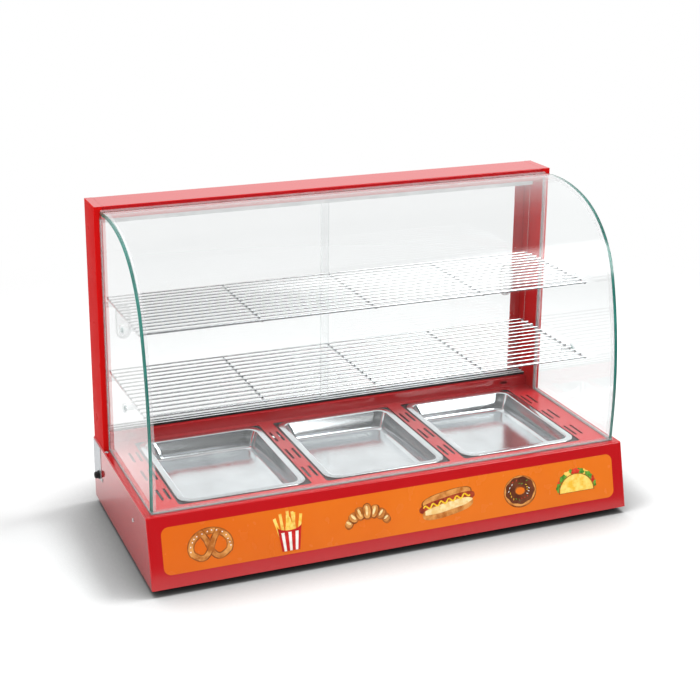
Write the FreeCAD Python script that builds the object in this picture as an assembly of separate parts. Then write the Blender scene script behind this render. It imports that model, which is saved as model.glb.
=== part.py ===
"""Curved glass food warming showcase: a heated base with three pans, two wire shelves,
a curved front glass, flat side glasses and two sliding glass doors at the back.

Frame: millimetres, +Z up, the front faces -Y. The origin is on the floor, in the middle of
the overall width and depth. Each piece is one STEP file in parts/, and pieces that repeat
are made by a loop.
"""
import FreeCAD, Part
import math
import os

# --- overall sizes -----------------------------------------------------------------------
WIDTH = 900.0            # base, side to side
BASE_DEPTH = 398.0       # base, front to back at the floor
BASE_HEIGHT = 118.0      # base, without its feet
FRAME_HEIGHT = 571.0     # from the underside of the base to the top of the beam
FOOT_HEIGHT = 12.0       # daylight under the base
FRONT_SETBACK = 28.0     # how far the front panel leans back over its height

# --- sheet metal -------------------------------------------------------------------------
SHEET = 1.5
BEND = 2.5               # outside bend radius
FRONT_RIM = 11.0         # width of the rim in front of the front glass
SIDE_RIM = 12.0          # width of the rim beside the side glasses
RETURN = 12.0            # width of the hidden return flanges
FIT = 0.3                # gap between two sheets that meet

# --- rear frame --------------------------------------------------------------------------
COLUMN_DEPTH = 74.0
COLUMN_WIDTH = 15.0
COLUMN_INSET = 2.0       # column side, in from the base side
REAR_LIP = 20.0          # inward lip at the back of a column
BEAM_HEIGHT = 23.0
LAMP_SLOT = 14.0         # slot under the beam that the lamp shines through
LAMP_SLOT_EDGE = 4.0
LAMP_SLOT_END = 40.0      # lamp slot, short of each end of the beam
LAMP_FROM_COLUMN = 44.0   # end of the lamp's caps, in from the column
LAMP_RADIUS = 5.0
LAMP_CAP = 12.0
LAMP_CAP_RADIUS = 5.6
LAMP_CAP_FLATS = 12
LAMP_HOLDER = 14.0

# --- door sill, tracks and doors ---------------------------------------------------------
SILL_FRONT = 30.0        # sill face, behind the front of the columns
SILL_HEIGHT = 19.0
TRACK_SETBACK = 38.0     # front of the tracks, behind the front of the columns
TRACK_DEPTH = 26.0
TRACK_BOTTOM_HEIGHT = 4.5
TRACK_TOP_HEIGHT = 16.0
TRACK_FLOOR = 2.0
DOOR_GLASS = 4.0
DOOR_SPACING = 12.0      # between the middles of the two grooves
DOOR_PLAY = 0.6          # groove, wider than the glass on each side
DOOR_OVERLAP = 20.0
DOOR_EDGE_GAP = 2.0
PULL_WIDTH = 22.0
PULL_HEIGHT = 60.0
PULL_FLANGE = 3.0
PULL_PROUD = 1.2
PULL_WALL = 2.0
PULL_FROM_EDGE = 45.0

# --- glass -------------------------------------------------------------------------------
GLASS = 5.0
GLASS_DROP = 9.5         # front glass, below the top of the beam
GLASS_LEAN = 3.0         # degrees, outwards at the bottom
LOWER_TURN = 19.0        # degrees turned by the long lower arc
SHOULDER_TURN = 56.0     # degrees turned by the shoulder
CROWN_TURN = 27.5        # degrees turned by the crown arc
FOOT_STRAIGHT = 50.0     # straight run above the base
SHOULDER_RADIUS = 180.0
FRONT_GLASS_END = 1.0    # front glass end, in from the outer face of a side glass
GLASS_JOINT = 1.0        # between the front glass and the edge of a side glass
SEAL_WALL = 1.2
SEAL_BASE = 1.0
SEAL_HEIGHT = 5.0
SEAL_SLACK = 0.4
POST_SEAL_WIDTH = 8.0
CORNER_SEAL = 5.0
CORNER_SEAL_GAP = 0.3
BEAD = 4.0

# --- pans and deck -----------------------------------------------------------------------
PAN_COUNT = 3
CORNER_FLATS = 5         # flats round each upright corner of a pan
PAN_PITCH = 265.0
PAN_WIDTH = 230.0
PAN_LENGTH = 272.0
PAN_CENTRE = 122.0       # pan middle, in front of the front of the columns
PAN_RIM = 12.0
PAN_DEPTH = 32.0
PAN_WALL = 1.0
PAN_LIP = 4.0            # turned-down edge of the rim
PAN_CORNER = 26.0        # outer corner radius of the rim
PAN_DRAFT = 10.0         # each wall slopes in by this much
PAN_FLOOR_RADIUS = 8.0   # height of the turn between wall and floor
PAN_PROUD = 1.0          # rim, above the deck
PAN_GAP = 4.0            # dark gap round the rim
CUTOUT_CORNER = 6.0
LEDGE_SEAT = 9.0
LEDGE_SHEET = 1.2
LEDGE_BORDER = 5.0       # frame, beyond the cut-out on each side
SLOT_LENGTH = 46.0
SLOT_WIDTH = 5.0
SLOT_PAIR = 13.0
SLOT_ROW_PITCH = 83.0
SLOT_CENTRE = 130.0      # middle row of slots, in front of the front of the columns
SILL_HOLE_WIDTH = 16.0
SILL_HOLE_HEIGHT = 6.0
SILL_HOLE_FROM_END = 50.0

# --- wire shelves ------------------------------------------------------------------------
SHELF_END = 12.0         # shelf end, in from the inner face of a side glass
SHELF_WIRES = 14
WIRE = 3.0               # long wires
CROSS_WIRE = 4.0
FRONT_WIRE = 5.0
CROSS_WIRES = 5
WELD = 0.3               # how far crossing wires sink into each other
WIRE_SIDES = 6           # flats that stand for the round of a wire
LOWER_SHELF_HEIGHT = 141.0
LOWER_SHELF_DEPTH = 236.0
UPPER_SHELF_HEIGHT = 281.0
UPPER_SHELF_DEPTH = 217.0
LOWER_SHELF_BACK = 30.0  # shelf back, behind the front of the columns
UPPER_SHELF_BACK = 26.0
PEG_REACH = 20.0
PEG_RADIUS = 5.0
PEG_SHANK = 3.7
PEG_TAIL = 4.0            # column peg, behind the sheet of the column
PEG_HOLE = 4.0
PEG_FLATS = 8            # flats that stand for the round of a peg and its hole
PEG_HEAD = 8.0
PEG_HEAD_THICK = 3.0
PEG_FRONT = 131.0        # glass pegs, in front of the front of the columns
PEG_REAR = 15.0          # column pegs, behind the front of the columns

# --- heating -----------------------------------------------------------------------------
ELEMENT_RADIUS = 4.0
ELEMENT_LEG_PITCH = 110.0
ELEMENT_CORNER = 30.0
ELEMENT_END = 12.0
ELEMENT_SIDES = 8        # flats that stand for the round of the tube
ELEMENT_LENGTH = 130.0
ELEMENT_HEIGHT = 50.0    # element middle, above the underside of the base
SHIELD_HEIGHT = 22.0
SHIELD_MARGIN = 60.0
SHIELD_LENGTH = 240.0
SHIELD_FLANGE = 14.0
BRACKET_WIDTH = 12.0
BRACKET_REACH = 14.0     # bracket, beyond each leg of its element
BRACKET_FOOT = 12.0
BRACKET_PLACE = 45.0     # in front of and behind the middle of a pan

# --- controls ----------------------------------------------------------------------------
KNOB_RADIUS = 18.0
KNOB_PROUD = 16.0        # knob face, behind the base
KNOB_GAP = 1.0
KNOB_FLATS = 12          # flats round the grip
SHAFT_RADIUS = 3.0
SHAFT_PLAY = 0.05
SHAFT_SEAT = 12.0         # shaft, inside the thermostat
SHAFT_END_GAP = 2.0
SKIRT_DEPTH = 4.0
SKIRT_STEP = 4.0          # skirt, wider than the grip
POINTER_WIDTH = 2.0
THERMOSTAT_WIDTH = 40.0
THERMOSTAT_HEIGHT = 32.0
THERMOSTAT_DEPTH = 26.0
NECK_WALL = 1.5
TAB_PITCH = 16.0
TAB_WIDTH = 6.0
TAB_LENGTH = 8.0
TAB_THICK = 1.0
CONTROL_HEIGHT = 64.0    # above the underside of the base
VENT_BANKS = (-300.0, -60.0)
VENT_ROWS = 3
VENT_PITCH = 14.0
VENT_LENGTH = 120.0
VENT_WIDTH = 5.0
KNOB_X = 300.0
LAMP_LIGHT_X = 232.0
LENS_RADIUS = 7.0
LENS_STEM = 5.0
LENS_PROUD = 3.0
LENS_DEPTH = 18.0
LENS_FLATS = 12
SWITCH_X = (150.0, 190.0)
SWITCH_WIDTH = 15.0
SWITCH_HEIGHT = 21.0
SWITCH_BEZEL = 2.5
SWITCH_DEPTH = 22.0
SWITCH_WALL = 1.5
SWITCH_WELL = 9.0
BEZEL_PROUD = 1.8
BEZEL_EDGE = 0.8
ROCKER_PLAY = 1.0
SWITCH_TILT = 8.0        # degrees
GLAND_Y = 38.0           # from the back of the base
GLAND_HEIGHT = 57.0
GLAND_RADIUS = 8.0
GLAND_PROUD = 9.0
GLAND_BORE = 4.0
GLAND_FLANGE = 3.0
GLAND_COLLAR = 6.0
GLAND_BARREL = 6.5
GLAND_DEPTH = 12.0
GLAND_NUT = 10.0
GLAND_NUT_THICK = 5.0
GLAND_FLATS = 12

# --- feet and screws ---------------------------------------------------------------------
BLOCK_PLACE = 60.0        # terminal block, in from the base side
BLOCK_DEPTH = 22.0
BLOCK_HEIGHT = 20.0
BLOCK_WAYS = 5
BLOCK_PITCH = 12.0
BLOCK_WAY = 6.0
BLOCK_WAY_DEPTH = 12.0
BLOCK_WALL = 2.0
AIR_PITCH = 20.0          # air slots in the bottom plate
AIR_WIDTH = 6.0
AIR_LENGTH = 80.0
FOOT_RADIUS = 16.0
FOOT_FLATS = 12
FOOT_FROM_SIDE = 50.0
FOOT_FROM_ENDS = 48.0
SCREW_RADIUS = 4.0
SCREW_HEAD = 2.0
SCREW_SHANK = 2.0
SCREW_LENGTH = 8.0
SIDE_SCREWS = ((60.0, 54.0), (285.0, 77.0))   # from the back, above the underside
REAR_SCREW_HEIGHTS = (20.0, 98.0)
SILL_SCREW_PITCH = 300.0

# --- places worked out from the sizes ----------------------------------------------------
HALF = WIDTH / 2
Y_FRONT = -(BASE_DEPTH + KNOB_PROUD) / 2
Y_BACK = Y_FRONT + BASE_DEPTH
Y_RIM = Y_FRONT + FRONT_SETBACK
Y_POST = Y_BACK - COLUMN_DEPTH
Z_BASE = FOOT_HEIGHT
Z_DECK = Z_BASE + BASE_HEIGHT
Z_TOP = Z_BASE + FRAME_HEIGHT
Z_BEAM = Z_TOP - BEAM_HEIGHT
Z_SILL = Z_DECK + SILL_HEIGHT
X_POST_OUT = HALF - COLUMN_INSET
X_POST_IN = X_POST_OUT - COLUMN_WIDTH
X_GLASS_OUT = HALF - SIDE_RIM
X_GLASS_IN = X_GLASS_OUT - GLASS
X_FRONT_GLASS = X_GLASS_OUT - FRONT_GLASS_END
Y_GLASS = Y_RIM + FRONT_RIM
Y_TRACK = Y_POST + TRACK_SETBACK
Y_GROOVES = tuple(Y_TRACK + TRACK_DEPTH / 2 + s * DOOR_SPACING / 2 for s in (-1, 1))
Z_CONTROL = Z_BASE + CONTROL_HEIGHT
Y_PAN = Y_POST - PAN_CENTRE
Y_SLOTS = Y_POST - SLOT_CENTRE
X_SHELF = X_GLASS_IN - SHELF_END
PAN_XS = tuple((i - (PAN_COUNT - 1) / 2) * PAN_PITCH for i in range(PAN_COUNT))
PAN_NAMES = ("pan_left", "pan_centre", "pan_right")
Z_LEDGE = Z_DECK + PAN_PROUD - PAN_LIP
SIDES = (("left", -1), ("right", 1))
V = FreeCAD.Vector


# --- small tools -------------------------------------------------------------------------
def save(name, shape):
    """Write one piece, or a list of separate solids, to parts/."""
    if isinstance(shape, (list, tuple)):
        shape = Part.makeCompound(list(shape))
    shape.exportStep("parts/" + name + ".step")


def box(x0, x1, y0, y1, z0, z1):
    """A box between two corners, whichever way round they are given."""
    low = V(min(x0, x1), min(y0, y1), min(z0, z1))
    return Part.makeBox(abs(x1 - x0), abs(y1 - y0), abs(z1 - z0), low)


def cylinder(x, y, z, radius, length, axis):
    """A cylinder that starts at the point and runs along the axis."""
    return Part.makeCylinder(radius, length, V(x, y, z), V(*axis))


def fuse(shapes):
    """Join shapes into one, with the seams between them removed."""
    shapes = list(shapes)
    first = shapes[0]
    return first.multiFuse(shapes[1:]).removeSplitter() if len(shapes) > 1 else first


def extrude_yz(points, x0, x1):
    """Extrude a (y, z) outline from x0 to x1."""
    wire = Part.makePolygon([V(x0, y, z) for y, z in points + [points[0]]])
    return Part.Face(wire).extrude(V(x1 - x0, 0, 0))


def extrude_xy(points, z0, z1):
    """Extrude an (x, y) outline from z0 to z1."""
    wire = Part.makePolygon([V(x, y, z0) for x, y in points + [points[0]]])
    return Part.Face(wire).extrude(V(0, 0, z1 - z0))


def extrude_xz(points, y0, y1):
    """Extrude an (x, z) outline from y0 to y1."""
    wire = Part.makePolygon([V(x, y0, z) for x, z in points + [points[0]]])
    return Part.Face(wire).extrude(V(0, y1 - y0, 0))


def rounded_outline(cx, cy, z, width, length, radius):
    """Corners of a level rectangle, with flats that stand for the round of its corners."""
    points = []
    for quarter, (sx, sy) in enumerate(((1, 1), (-1, 1), (-1, -1), (1, -1))):
        px = cx + sx * (width / 2 - radius)
        py = cy + sy * (length / 2 - radius)
        for i in range(CORNER_FLATS + 1):
            a = math.pi / 2 * (quarter + i / CORNER_FLATS)
            points.append(V(px + radius * math.cos(a), py + radius * math.sin(a), z))
    return points


def stack(outlines):
    """A solid with flat faces through level outlines that have the same number of corners."""
    faces = [Part.Face(Part.makePolygon(points + points[:1])) for points in (outlines[0], outlines[-1])]
    count = len(outlines[0])
    for low, high in zip(outlines, outlines[1:]):
        for i in range(count):
            k = (i + 1) % count
            faces.append(Part.Face(Part.makePolygon([low[i], low[k], high[k], high[i], low[i]])))
    solid = Part.makeSolid(Part.makeShell(faces))
    return solid if solid.Volume > 0 else solid.reversed()


def rounded_block(cx, cy, z0, z1, width, length, radius):
    """A block with rounded upright corners."""
    return stack([rounded_outline(cx, cy, z, width, length, radius) for z in (z0, z1)])


def upright_edges(shape):
    """The edges of a shape that run along Z."""
    lines = [e for e in shape.Edges if isinstance(e.Curve, Part.Line)]
    return [e for e in lines if abs(e.tangentAt(e.FirstParameter).z) > 0.99]


def cross_edges(shape, keep):
    """The edges along X whose middle passes the test."""
    picked = []
    for e in shape.Edges:
        if isinstance(e.Curve, Part.Line) and abs(e.tangentAt(e.FirstParameter).x) > 0.99:
            if keep(e.CenterOfMass):
                picked.append(e)
    return picked


def slot_upright(cx, cz, y0, y1, width, height):
    """An obround prism through a wall that faces Y, long along Z."""
    return obround(V(cx, y0, cz), V(0, 0, 1), V(1, 0, 0), height, width, V(0, y1 - y0, 0))


def obround(centre, along, across, length, width, depth):
    """An obround prism: its long way, its short way, and the vector that it is extruded by.

    Flats stand for the round of its ends, more of them on a wide one.
    """
    r = width / 2
    flats = 3 if width < 10 else 6
    points = []
    for end in (1, -1):
        middle = centre + along * end * (length / 2 - r)
        for i in range(flats + 1):
            a = math.pi * i / flats
            points.append(middle + (across * math.cos(a) + along * math.sin(a)) * r * end)
    return Part.Face(Part.makePolygon(points + points[:1])).extrude(depth)


def slot_along_y(cx, cy, z0, z1, width, length):
    """An obround prism through a level sheet, long along Y."""
    return obround(V(cx, cy, z0), V(0, 1, 0), V(1, 0, 0), length, width, V(0, 0, z1 - z0))


def slot_in_wall(cx, cz, y0, y1, width, height):
    """An obround prism through a wall that faces Y, long along X."""
    return obround(V(cx, y0, cz), V(1, 0, 0), V(0, 0, 1), width, height, V(0, y1 - y0, 0))


def prism(centre, axis, radius, length, sides):
    """A prism with a regular outline, whose flats are square to the frame; radius is to a flat."""
    reach = radius / math.cos(math.pi / sides)
    corners = []
    for i in range(sides + 1):
        a = math.radians(360 / sides * (i + 0.5))
        corners.append(V(reach * math.cos(a), reach * math.sin(a), 0))
    solid = Part.Face(Part.makePolygon(corners)).extrude(V(0, 0, length))
    turn = FreeCAD.Rotation(V(0, 0, 1), V(*axis))
    solid.Placement = FreeCAD.Placement(V(*centre), turn)
    return solid


def screw(x, y, z, outward):
    """A hexagon-head sheet screw: the head stands on the face at the point, the shank goes in."""
    out = V(*outward)
    head = prism((x, y, z), outward, SCREW_RADIUS, SCREW_HEAD, 6)
    start = V(x, y, z) - out * SCREW_LENGTH
    return head.fuse(prism(start, outward, SCREW_SHANK, SCREW_LENGTH, 6))


def screw_hole(x, y, z, outward):
    """The clearance hole that a screw's shank passes through."""
    reach = SCREW_LENGTH + 2.0
    start = V(x, y, z) - V(*outward) * reach
    return prism(start, outward, SCREW_SHANK + 0.2, 2 * reach, 6)


# --- base --------------------------------------------------------------------------------
def panel_y(z):
    """Where the outer face of the front panel is at a height."""
    return Y_FRONT + FRONT_SETBACK * (z - Z_BASE) / BASE_HEIGHT


def side_screw_places():
    """The screws in the two sides of the base."""
    for _, side in SIDES:
        for back, up in SIDE_SCREWS:
            yield side * HALF, Y_BACK - back, Z_BASE + up, (side, 0, 0)


def make_base_shell():
    """Front and side skin in one folded sheet, with rim and return flanges."""
    slant = math.hypot(FRONT_SETBACK, BASE_HEIGHT) / BASE_HEIGHT
    outline = [(Y_FRONT, Z_BASE), (Y_BACK, Z_BASE), (Y_BACK, Z_DECK), (Y_RIM, Z_DECK)]
    shell = extrude_yz(outline, -HALF, HALF)
    front_corners = [e for e in shell.Edges if abs(e.tangentAt(e.FirstParameter).x) < 0.01
                     and e.CenterOfMass.y < Y_RIM and abs(e.tangentAt(e.FirstParameter).z) > 0.5]
    top_front = cross_edges(shell, lambda c: c.y < Y_RIM + 1 and c.z > Z_DECK - 1)
    top_sides = [e for e in shell.Edges if abs(e.tangentAt(e.FirstParameter).y) > 0.99
                 and e.CenterOfMass.z > Z_DECK - 1]
    shell = shell.makeFillet(BEND, front_corners + top_front + top_sides)
    inner_front = SHEET * slant
    low = Z_BASE + SHEET
    high = Z_DECK - SHEET
    cavity = [(panel_y(low) + inner_front, low), (Y_BACK + 1, low),
              (Y_BACK + 1, high), (panel_y(high) + inner_front, high)]
    x_in = HALF - SHEET
    shell = shell.cut(extrude_yz(cavity, -x_in, x_in))
    shell = shell.cut(box(-X_GLASS_OUT, X_GLASS_OUT, Y_GLASS, Y_BACK + 1, high - 1, Z_DECK + 1))
    shell = shell.cut(box(-x_in + RETURN, x_in - RETURN, Y_FRONT + RETURN + inner_front, Y_BACK + 1,
                          Z_BASE - 1, low + 1))
    flanges = []
    for _, side in SIDES:
        flanges.append(box(side * (x_in - RETURN), side * (x_in + SHEET / 2), Y_BACK - 2 * SHEET - FIT,
                           Y_BACK - SHEET - FIT, low, high))
    shell = fuse([shell] + flanges)
    for place in list(side_screw_places()) + list(rear_screw_places()):
        shell = shell.cut(screw_hole(*place))
    gland = (-HALF - 1, Y_BACK - GLAND_Y, Z_BASE + GLAND_HEIGHT)
    return shell.cut(prism(gland, (1, 0, 0), GLAND_BARREL + FIT, SHEET + 2, 8))


def make_bottom_plate():
    """Flat closing sheet with rows of air slots."""
    x = HALF - SHEET - FIT
    y0 = panel_y(Z_BASE + 2 * SHEET) + 2 * SHEET + FIT
    y1 = Y_BACK - 2 * SHEET - 2 * FIT
    z0 = Z_BASE + SHEET
    plate = box(-x, x, y0, y1, z0, z0 + SHEET)
    cuts = []
    for px in PAN_XS:
        for i in (-1, 0, 1):
            x = px + i * AIR_PITCH
            cuts.append(slot_along_y(x, Y_PAN, z0 - 1, z0 + SHEET + 1, AIR_WIDTH, AIR_LENGTH))
    for fx, fy in foot_places():
        cuts.append(screw_hole(fx, fy, z0, (0, 0, 1)))
    return plate.cut(Part.makeCompound(cuts))


def foot_places():
    """The four feet."""
    for sx in (-1, 1):
        for y in (Y_FRONT + FOOT_FROM_ENDS, Y_BACK - FOOT_FROM_ENDS):
            yield sx * (HALF - FOOT_FROM_SIDE), y


def make_foot(x, y):
    """Rubber foot: a chamfered block with a hollow for its screw."""
    top = Z_BASE + SHEET
    foot = prism((x, y, 0), (0, 0, 1), FOOT_RADIUS, top, FOOT_FLATS)
    foot = foot.makeChamfer(2.0, [e for e in foot.Edges if e.CenterOfMass.z < 0.1])
    hollow = prism((x, y, -1), (0, 0, 1), SCREW_RADIUS + 1.5, 1 + top - 5, 6)
    return foot.cut(hollow).cut(screw_hole(x, y, top, (0, 0, 1)))


def make_deck():
    """Deck with pan cut-outs and air slots, folded up at the back into the door sill."""
    x = X_GLASS_OUT - FIT
    x_between = X_POST_IN - FIT
    y0 = Y_GLASS + FIT
    y_sill = Y_POST + SILL_FRONT
    y1 = Y_BACK - SHEET - 2 * FIT
    z0 = Z_DECK - SHEET
    outline = [(-x, y0), (x, y0), (x, Y_POST - FIT), (x_between, Y_POST - FIT), (x_between, y_sill + SHEET),
               (-x_between, y_sill + SHEET), (-x_between, Y_POST - FIT), (-x, Y_POST - FIT)]
    flat = extrude_xy(outline, z0, Z_DECK)
    upstand = box(-x_between, x_between, y_sill, y_sill + SHEET, z0, Z_SILL)
    sill = box(-x_between, x_between, y_sill, y1, Z_SILL - SHEET, Z_SILL)
    skirt = box(-x_between, x_between, y1 - SHEET, y1, Z_SILL - RETURN, Z_SILL)
    front_turn = box(-x, x, y0, y0 + SHEET, z0 - RETURN, Z_DECK)
    side_turns = [box(s * (x - SHEET), s * x, y0, Y_POST - FIT, z0 - RETURN, Z_DECK) for s in (-1, 1)]
    deck = fuse([flat, upstand, sill, skirt, front_turn] + side_turns)
    bends = cross_edges(deck, lambda c: abs(c.y - y_sill) < 0.1 and c.z > Z_SILL - 0.1)
    deck = deck.makeFillet(BEND * 0.5, bends)
    cuts = []
    for px in PAN_XS:
        cuts.append(rounded_block(px, Y_PAN, z0 - 1, Z_DECK + 1, PAN_WIDTH + 2 * PAN_GAP,
                                  PAN_LENGTH + 2 * PAN_GAP, CUTOUT_CORNER))
    for column in range(PAN_COUNT + 1):
        cx = (column - PAN_COUNT / 2) * PAN_PITCH
        for row in (-1, 0, 1):
            for s in (-1, 1):
                cuts.append(slot_along_y(cx + s * SLOT_PAIR / 2, Y_SLOTS + row * SLOT_ROW_PITCH,
                                         z0 - 1, Z_DECK + 1, SLOT_WIDTH, SLOT_LENGTH))
    for s in (-1, 1):
        cuts.append(slot_in_wall(s * (x_between - SILL_HOLE_FROM_END), Z_DECK + SILL_HEIGHT / 2,
                                 y_sill - 1, y_sill + SHEET + 1, SILL_HOLE_WIDTH, SILL_HOLE_HEIGHT))
    cuts += [screw_hole(*place) for place in rear_screw_places()]
    return deck.cut(Part.makeCompound(cuts))


def make_ledge(px):
    """Black frame under one cut-out, whose inner ledge carries the rim of the pan."""
    outer_w = PAN_WIDTH + 2 * PAN_GAP
    outer_l = PAN_LENGTH + 2 * PAN_GAP
    top = Z_DECK - SHEET

    def block(width, length, z0, z1):
        return box(px - width / 2, px + width / 2, Y_PAN - length / 2, Y_PAN + length / 2, z0, z1)

    low = Z_LEDGE - LEDGE_SHEET
    ring = block(outer_w + 2 * LEDGE_BORDER, outer_l + 2 * LEDGE_BORDER, low, top)
    well = block(outer_w, outer_l, Z_LEDGE, top + 1)
    hole = block(PAN_WIDTH - 2 * LEDGE_SEAT, PAN_LENGTH - 2 * LEDGE_SEAT, low - 1, Z_LEDGE + 1)
    return ring.cut(well).cut(hole)


def make_pan(px):
    """Drawn steel pan: flat rim with a turned-down edge, sloping walls and a dished corner."""
    top = Z_DECK + PAN_PROUD

    def bowl(shrink, rise):
        w = PAN_WIDTH - 2 * PAN_RIM - 2 * shrink
        l = PAN_LENGTH - 2 * PAN_RIM - 2 * shrink
        r = PAN_CORNER - PAN_RIM + 4 - shrink
        floor = top - PAN_DEPTH + rise
        turn = PAN_FLOOR_RADIUS - rise
        levels = ((floor, PAN_DRAFT + turn), (floor + turn, PAN_DRAFT), (top + 0.001, 0.0))
        return stack([rounded_outline(px, Y_PAN, z, w - 2 * inward, l - 2 * inward, r)
                      for z, inward in levels])

    rim = rounded_block(px, Y_PAN, top - PAN_LIP, top, PAN_WIDTH, PAN_LENGTH, PAN_CORNER)
    under = rounded_block(px, Y_PAN, top - PAN_LIP - 1, top - PAN_WALL, PAN_WIDTH - 2 * PAN_WALL,
                          PAN_LENGTH - 2 * PAN_WALL, PAN_CORNER - PAN_WALL)
    rim = rim.cut(under)
    return rim.fuse(bowl(0, 0)).cut(bowl(PAN_WALL, PAN_WALL)).removeSplitter()


def make_rear_panel():
    """Rear closing sheet with the control cut-outs and two banks of air slots."""
    x = HALF - SHEET - FIT
    x_between = X_POST_IN - FIT
    z0 = Z_BASE + SHEET + FIT
    z_step = Z_DECK - SHEET - FIT
    z1 = Z_SILL - SHEET
    outline = [(-x, z0), (x, z0), (x, z_step), (x_between, z_step), (x_between, z1),
               (-x_between, z1), (-x_between, z_step), (-x, z_step)]
    panel = extrude_xz(outline, Y_BACK - SHEET, Y_BACK)
    y0 = Y_BACK - SHEET - 1
    y1 = Y_BACK + 1
    cuts = [prism((KNOB_X, y0, Z_CONTROL), (0, 1, 0), SHAFT_RADIUS + NECK_WALL + FIT, y1 - y0, 8),
            prism((LAMP_LIGHT_X, y0, Z_CONTROL), (0, 1, 0), LENS_STEM + FIT, y1 - y0, LENS_FLATS)]
    for sx in SWITCH_X:
        w = SWITCH_WIDTH / 2 + FIT
        h = SWITCH_HEIGHT / 2 + FIT
        cuts.append(box(sx - w, sx + w, y0, y1, Z_CONTROL - h, Z_CONTROL + h))
    for bank in VENT_BANKS:
        for i in range(VENT_ROWS):
            z = Z_CONTROL + (i - (VENT_ROWS - 1) / 2) * VENT_PITCH
            cuts.append(slot_in_wall(bank, z, y0, y1, VENT_LENGTH, VENT_WIDTH))
    cuts += [screw_hole(*place) for place in rear_screw_places()]
    return panel.cut(Part.makeCompound(cuts))


def rear_screw_places():
    """Screws through the rear panel into the return flanges and the sill skirt."""
    edge = HALF - SHEET - RETURN / 2
    for s in (-1, 1):
        for up in REAR_SCREW_HEIGHTS:
            yield s * edge, Y_BACK, Z_BASE + up, (0, 1, 0)
    for s in (-1, 0, 1):
        yield s * SILL_SCREW_PITCH, Y_BACK, Z_SILL - SHEET - RETURN / 2, (0, 1, 0)


# --- rear frame --------------------------------------------------------------------------
def column_peg_places(side):
    """The two shelf pegs on the inner face of a column."""
    for z in shelf_peg_heights():
        yield side * X_POST_IN, Y_POST + PEG_REAR, z


def shelf_peg_heights():
    """Height of the peg axis under each shelf."""
    drop = WIRE / 2 + CROSS_WIRE - WELD + PEG_RADIUS + FIT
    return [Z_DECK + up - drop for up in (LOWER_SHELF_HEIGHT, UPPER_SHELF_HEIGHT)]


def make_column(side):
    """Box-section post with a closed top and an inward lip along its back."""
    x0 = side * X_POST_OUT
    x1 = side * X_POST_IN
    post = box(x0, x1, Y_POST, Y_BACK, Z_DECK, Z_TOP)
    tops = [e for e in post.Edges if e.CenterOfMass.z > Z_TOP - 0.1 and abs(e.CenterOfMass.x - x0) < 0.1]
    outer = [e for e in upright_edges(post) if abs(e.CenterOfMass.x - x0) < 0.1]
    post = post.makeFillet(BEND * 0.6, outer + tops)
    inner = box(x0 - side * SHEET, x1 + side * SHEET, Y_POST + SHEET, Y_BACK - SHEET,
                Z_DECK - 1, Z_TOP - SHEET)
    post = post.cut(inner)
    lip = box(x1 + side * SHEET / 2, x1 - side * REAR_LIP, Y_BACK - SHEET, Y_BACK, Z_SILL + FIT, Z_BEAM - FIT)
    post = fuse([post, lip])
    for x, y, z in column_peg_places(side):
        post = post.cut(prism((x - side, y, z), (side, 0, 0), PEG_HOLE, SHEET + 2, PEG_FLATS))
    return post


def make_beam():
    """Hollow top rail between the columns, with a lamp slot in its underside."""
    x = X_POST_IN - FIT
    beam = box(-x, x, Y_POST, Y_BACK, Z_BEAM, Z_TOP)
    beam = beam.makeFillet(BEND * 0.6, cross_edges(beam, lambda c: c.z > Z_TOP - 0.1))
    beam = beam.cut(box(-x - 1, x + 1, Y_POST + SHEET, Y_BACK - SHEET, Z_BEAM + SHEET, Z_TOP - SHEET))
    slot_x = x - LAMP_SLOT_END
    y0 = Y_POST + LAMP_SLOT_EDGE
    return beam.cut(box(-slot_x, slot_x, y0, y0 + LAMP_SLOT, Z_BEAM - 1, Z_BEAM + SHEET + 1))


def make_track(z0, height, groove_floor):
    """Sliding door track: a bar with two grooves that open upwards or downwards."""
    x = X_POST_IN - FIT
    bar = box(-x, x, Y_TRACK, Y_TRACK + TRACK_DEPTH, z0, z0 + height)
    half = DOOR_GLASS / 2 + DOOR_PLAY
    for y in Y_GROOVES:
        if groove_floor > 0:
            bar = bar.cut(box(-x - 1, x + 1, y - half, y + half, z0 + groove_floor, z0 + height + 1))
        else:
            bar = bar.cut(box(-x - 1, x + 1, y - half, y + half, z0 - 1, z0 + height + groove_floor))
    return bar


def door_sizes():
    """Door width, lowest and highest edge."""
    width = (2 * (X_POST_IN - DOOR_EDGE_GAP) + DOOR_OVERLAP) / 2
    low = Z_SILL + TRACK_FLOOR + FIT
    high = Z_BEAM - TRACK_FLOOR - DOOR_GLASS
    return width, low, high


def make_door(side, y):
    """One glass door and its flush finger pull."""
    width, low, high = door_sizes()
    x0 = side * (X_POST_IN - DOOR_EDGE_GAP)
    glass = box(x0, x0 - side * width, y - DOOR_GLASS / 2, y + DOOR_GLASS / 2, low, high)
    glass = glass.makeChamfer(0.6, upright_edges(glass))
    px = x0 - side * PULL_FROM_EDGE
    pz = (low + high) / 2
    y0 = y - DOOR_GLASS / 2 - PULL_PROUD
    y1 = y + DOOR_GLASS / 2 + PULL_PROUD
    glass = glass.cut(slot_upright(px, pz, y0, y1, PULL_WIDTH + FIT, PULL_HEIGHT + FIT))
    core = slot_upright(px, pz, y0, y1, PULL_WIDTH, PULL_HEIGHT)
    wide = PULL_WIDTH + 2 * PULL_FLANGE
    high_pull = PULL_HEIGHT + 2 * PULL_FLANGE
    flanges = [slot_upright(px, pz, start, start + PULL_PROUD, wide, high_pull)
               for start in (y0, y1 - PULL_PROUD)]
    cup = slot_upright(px, pz, y0 + PULL_PROUD, y1 + 1,
                       PULL_WIDTH - 2 * PULL_WALL, PULL_HEIGHT - 2 * PULL_WALL)
    return glass, fuse([core] + flanges).cut(cup)


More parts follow.
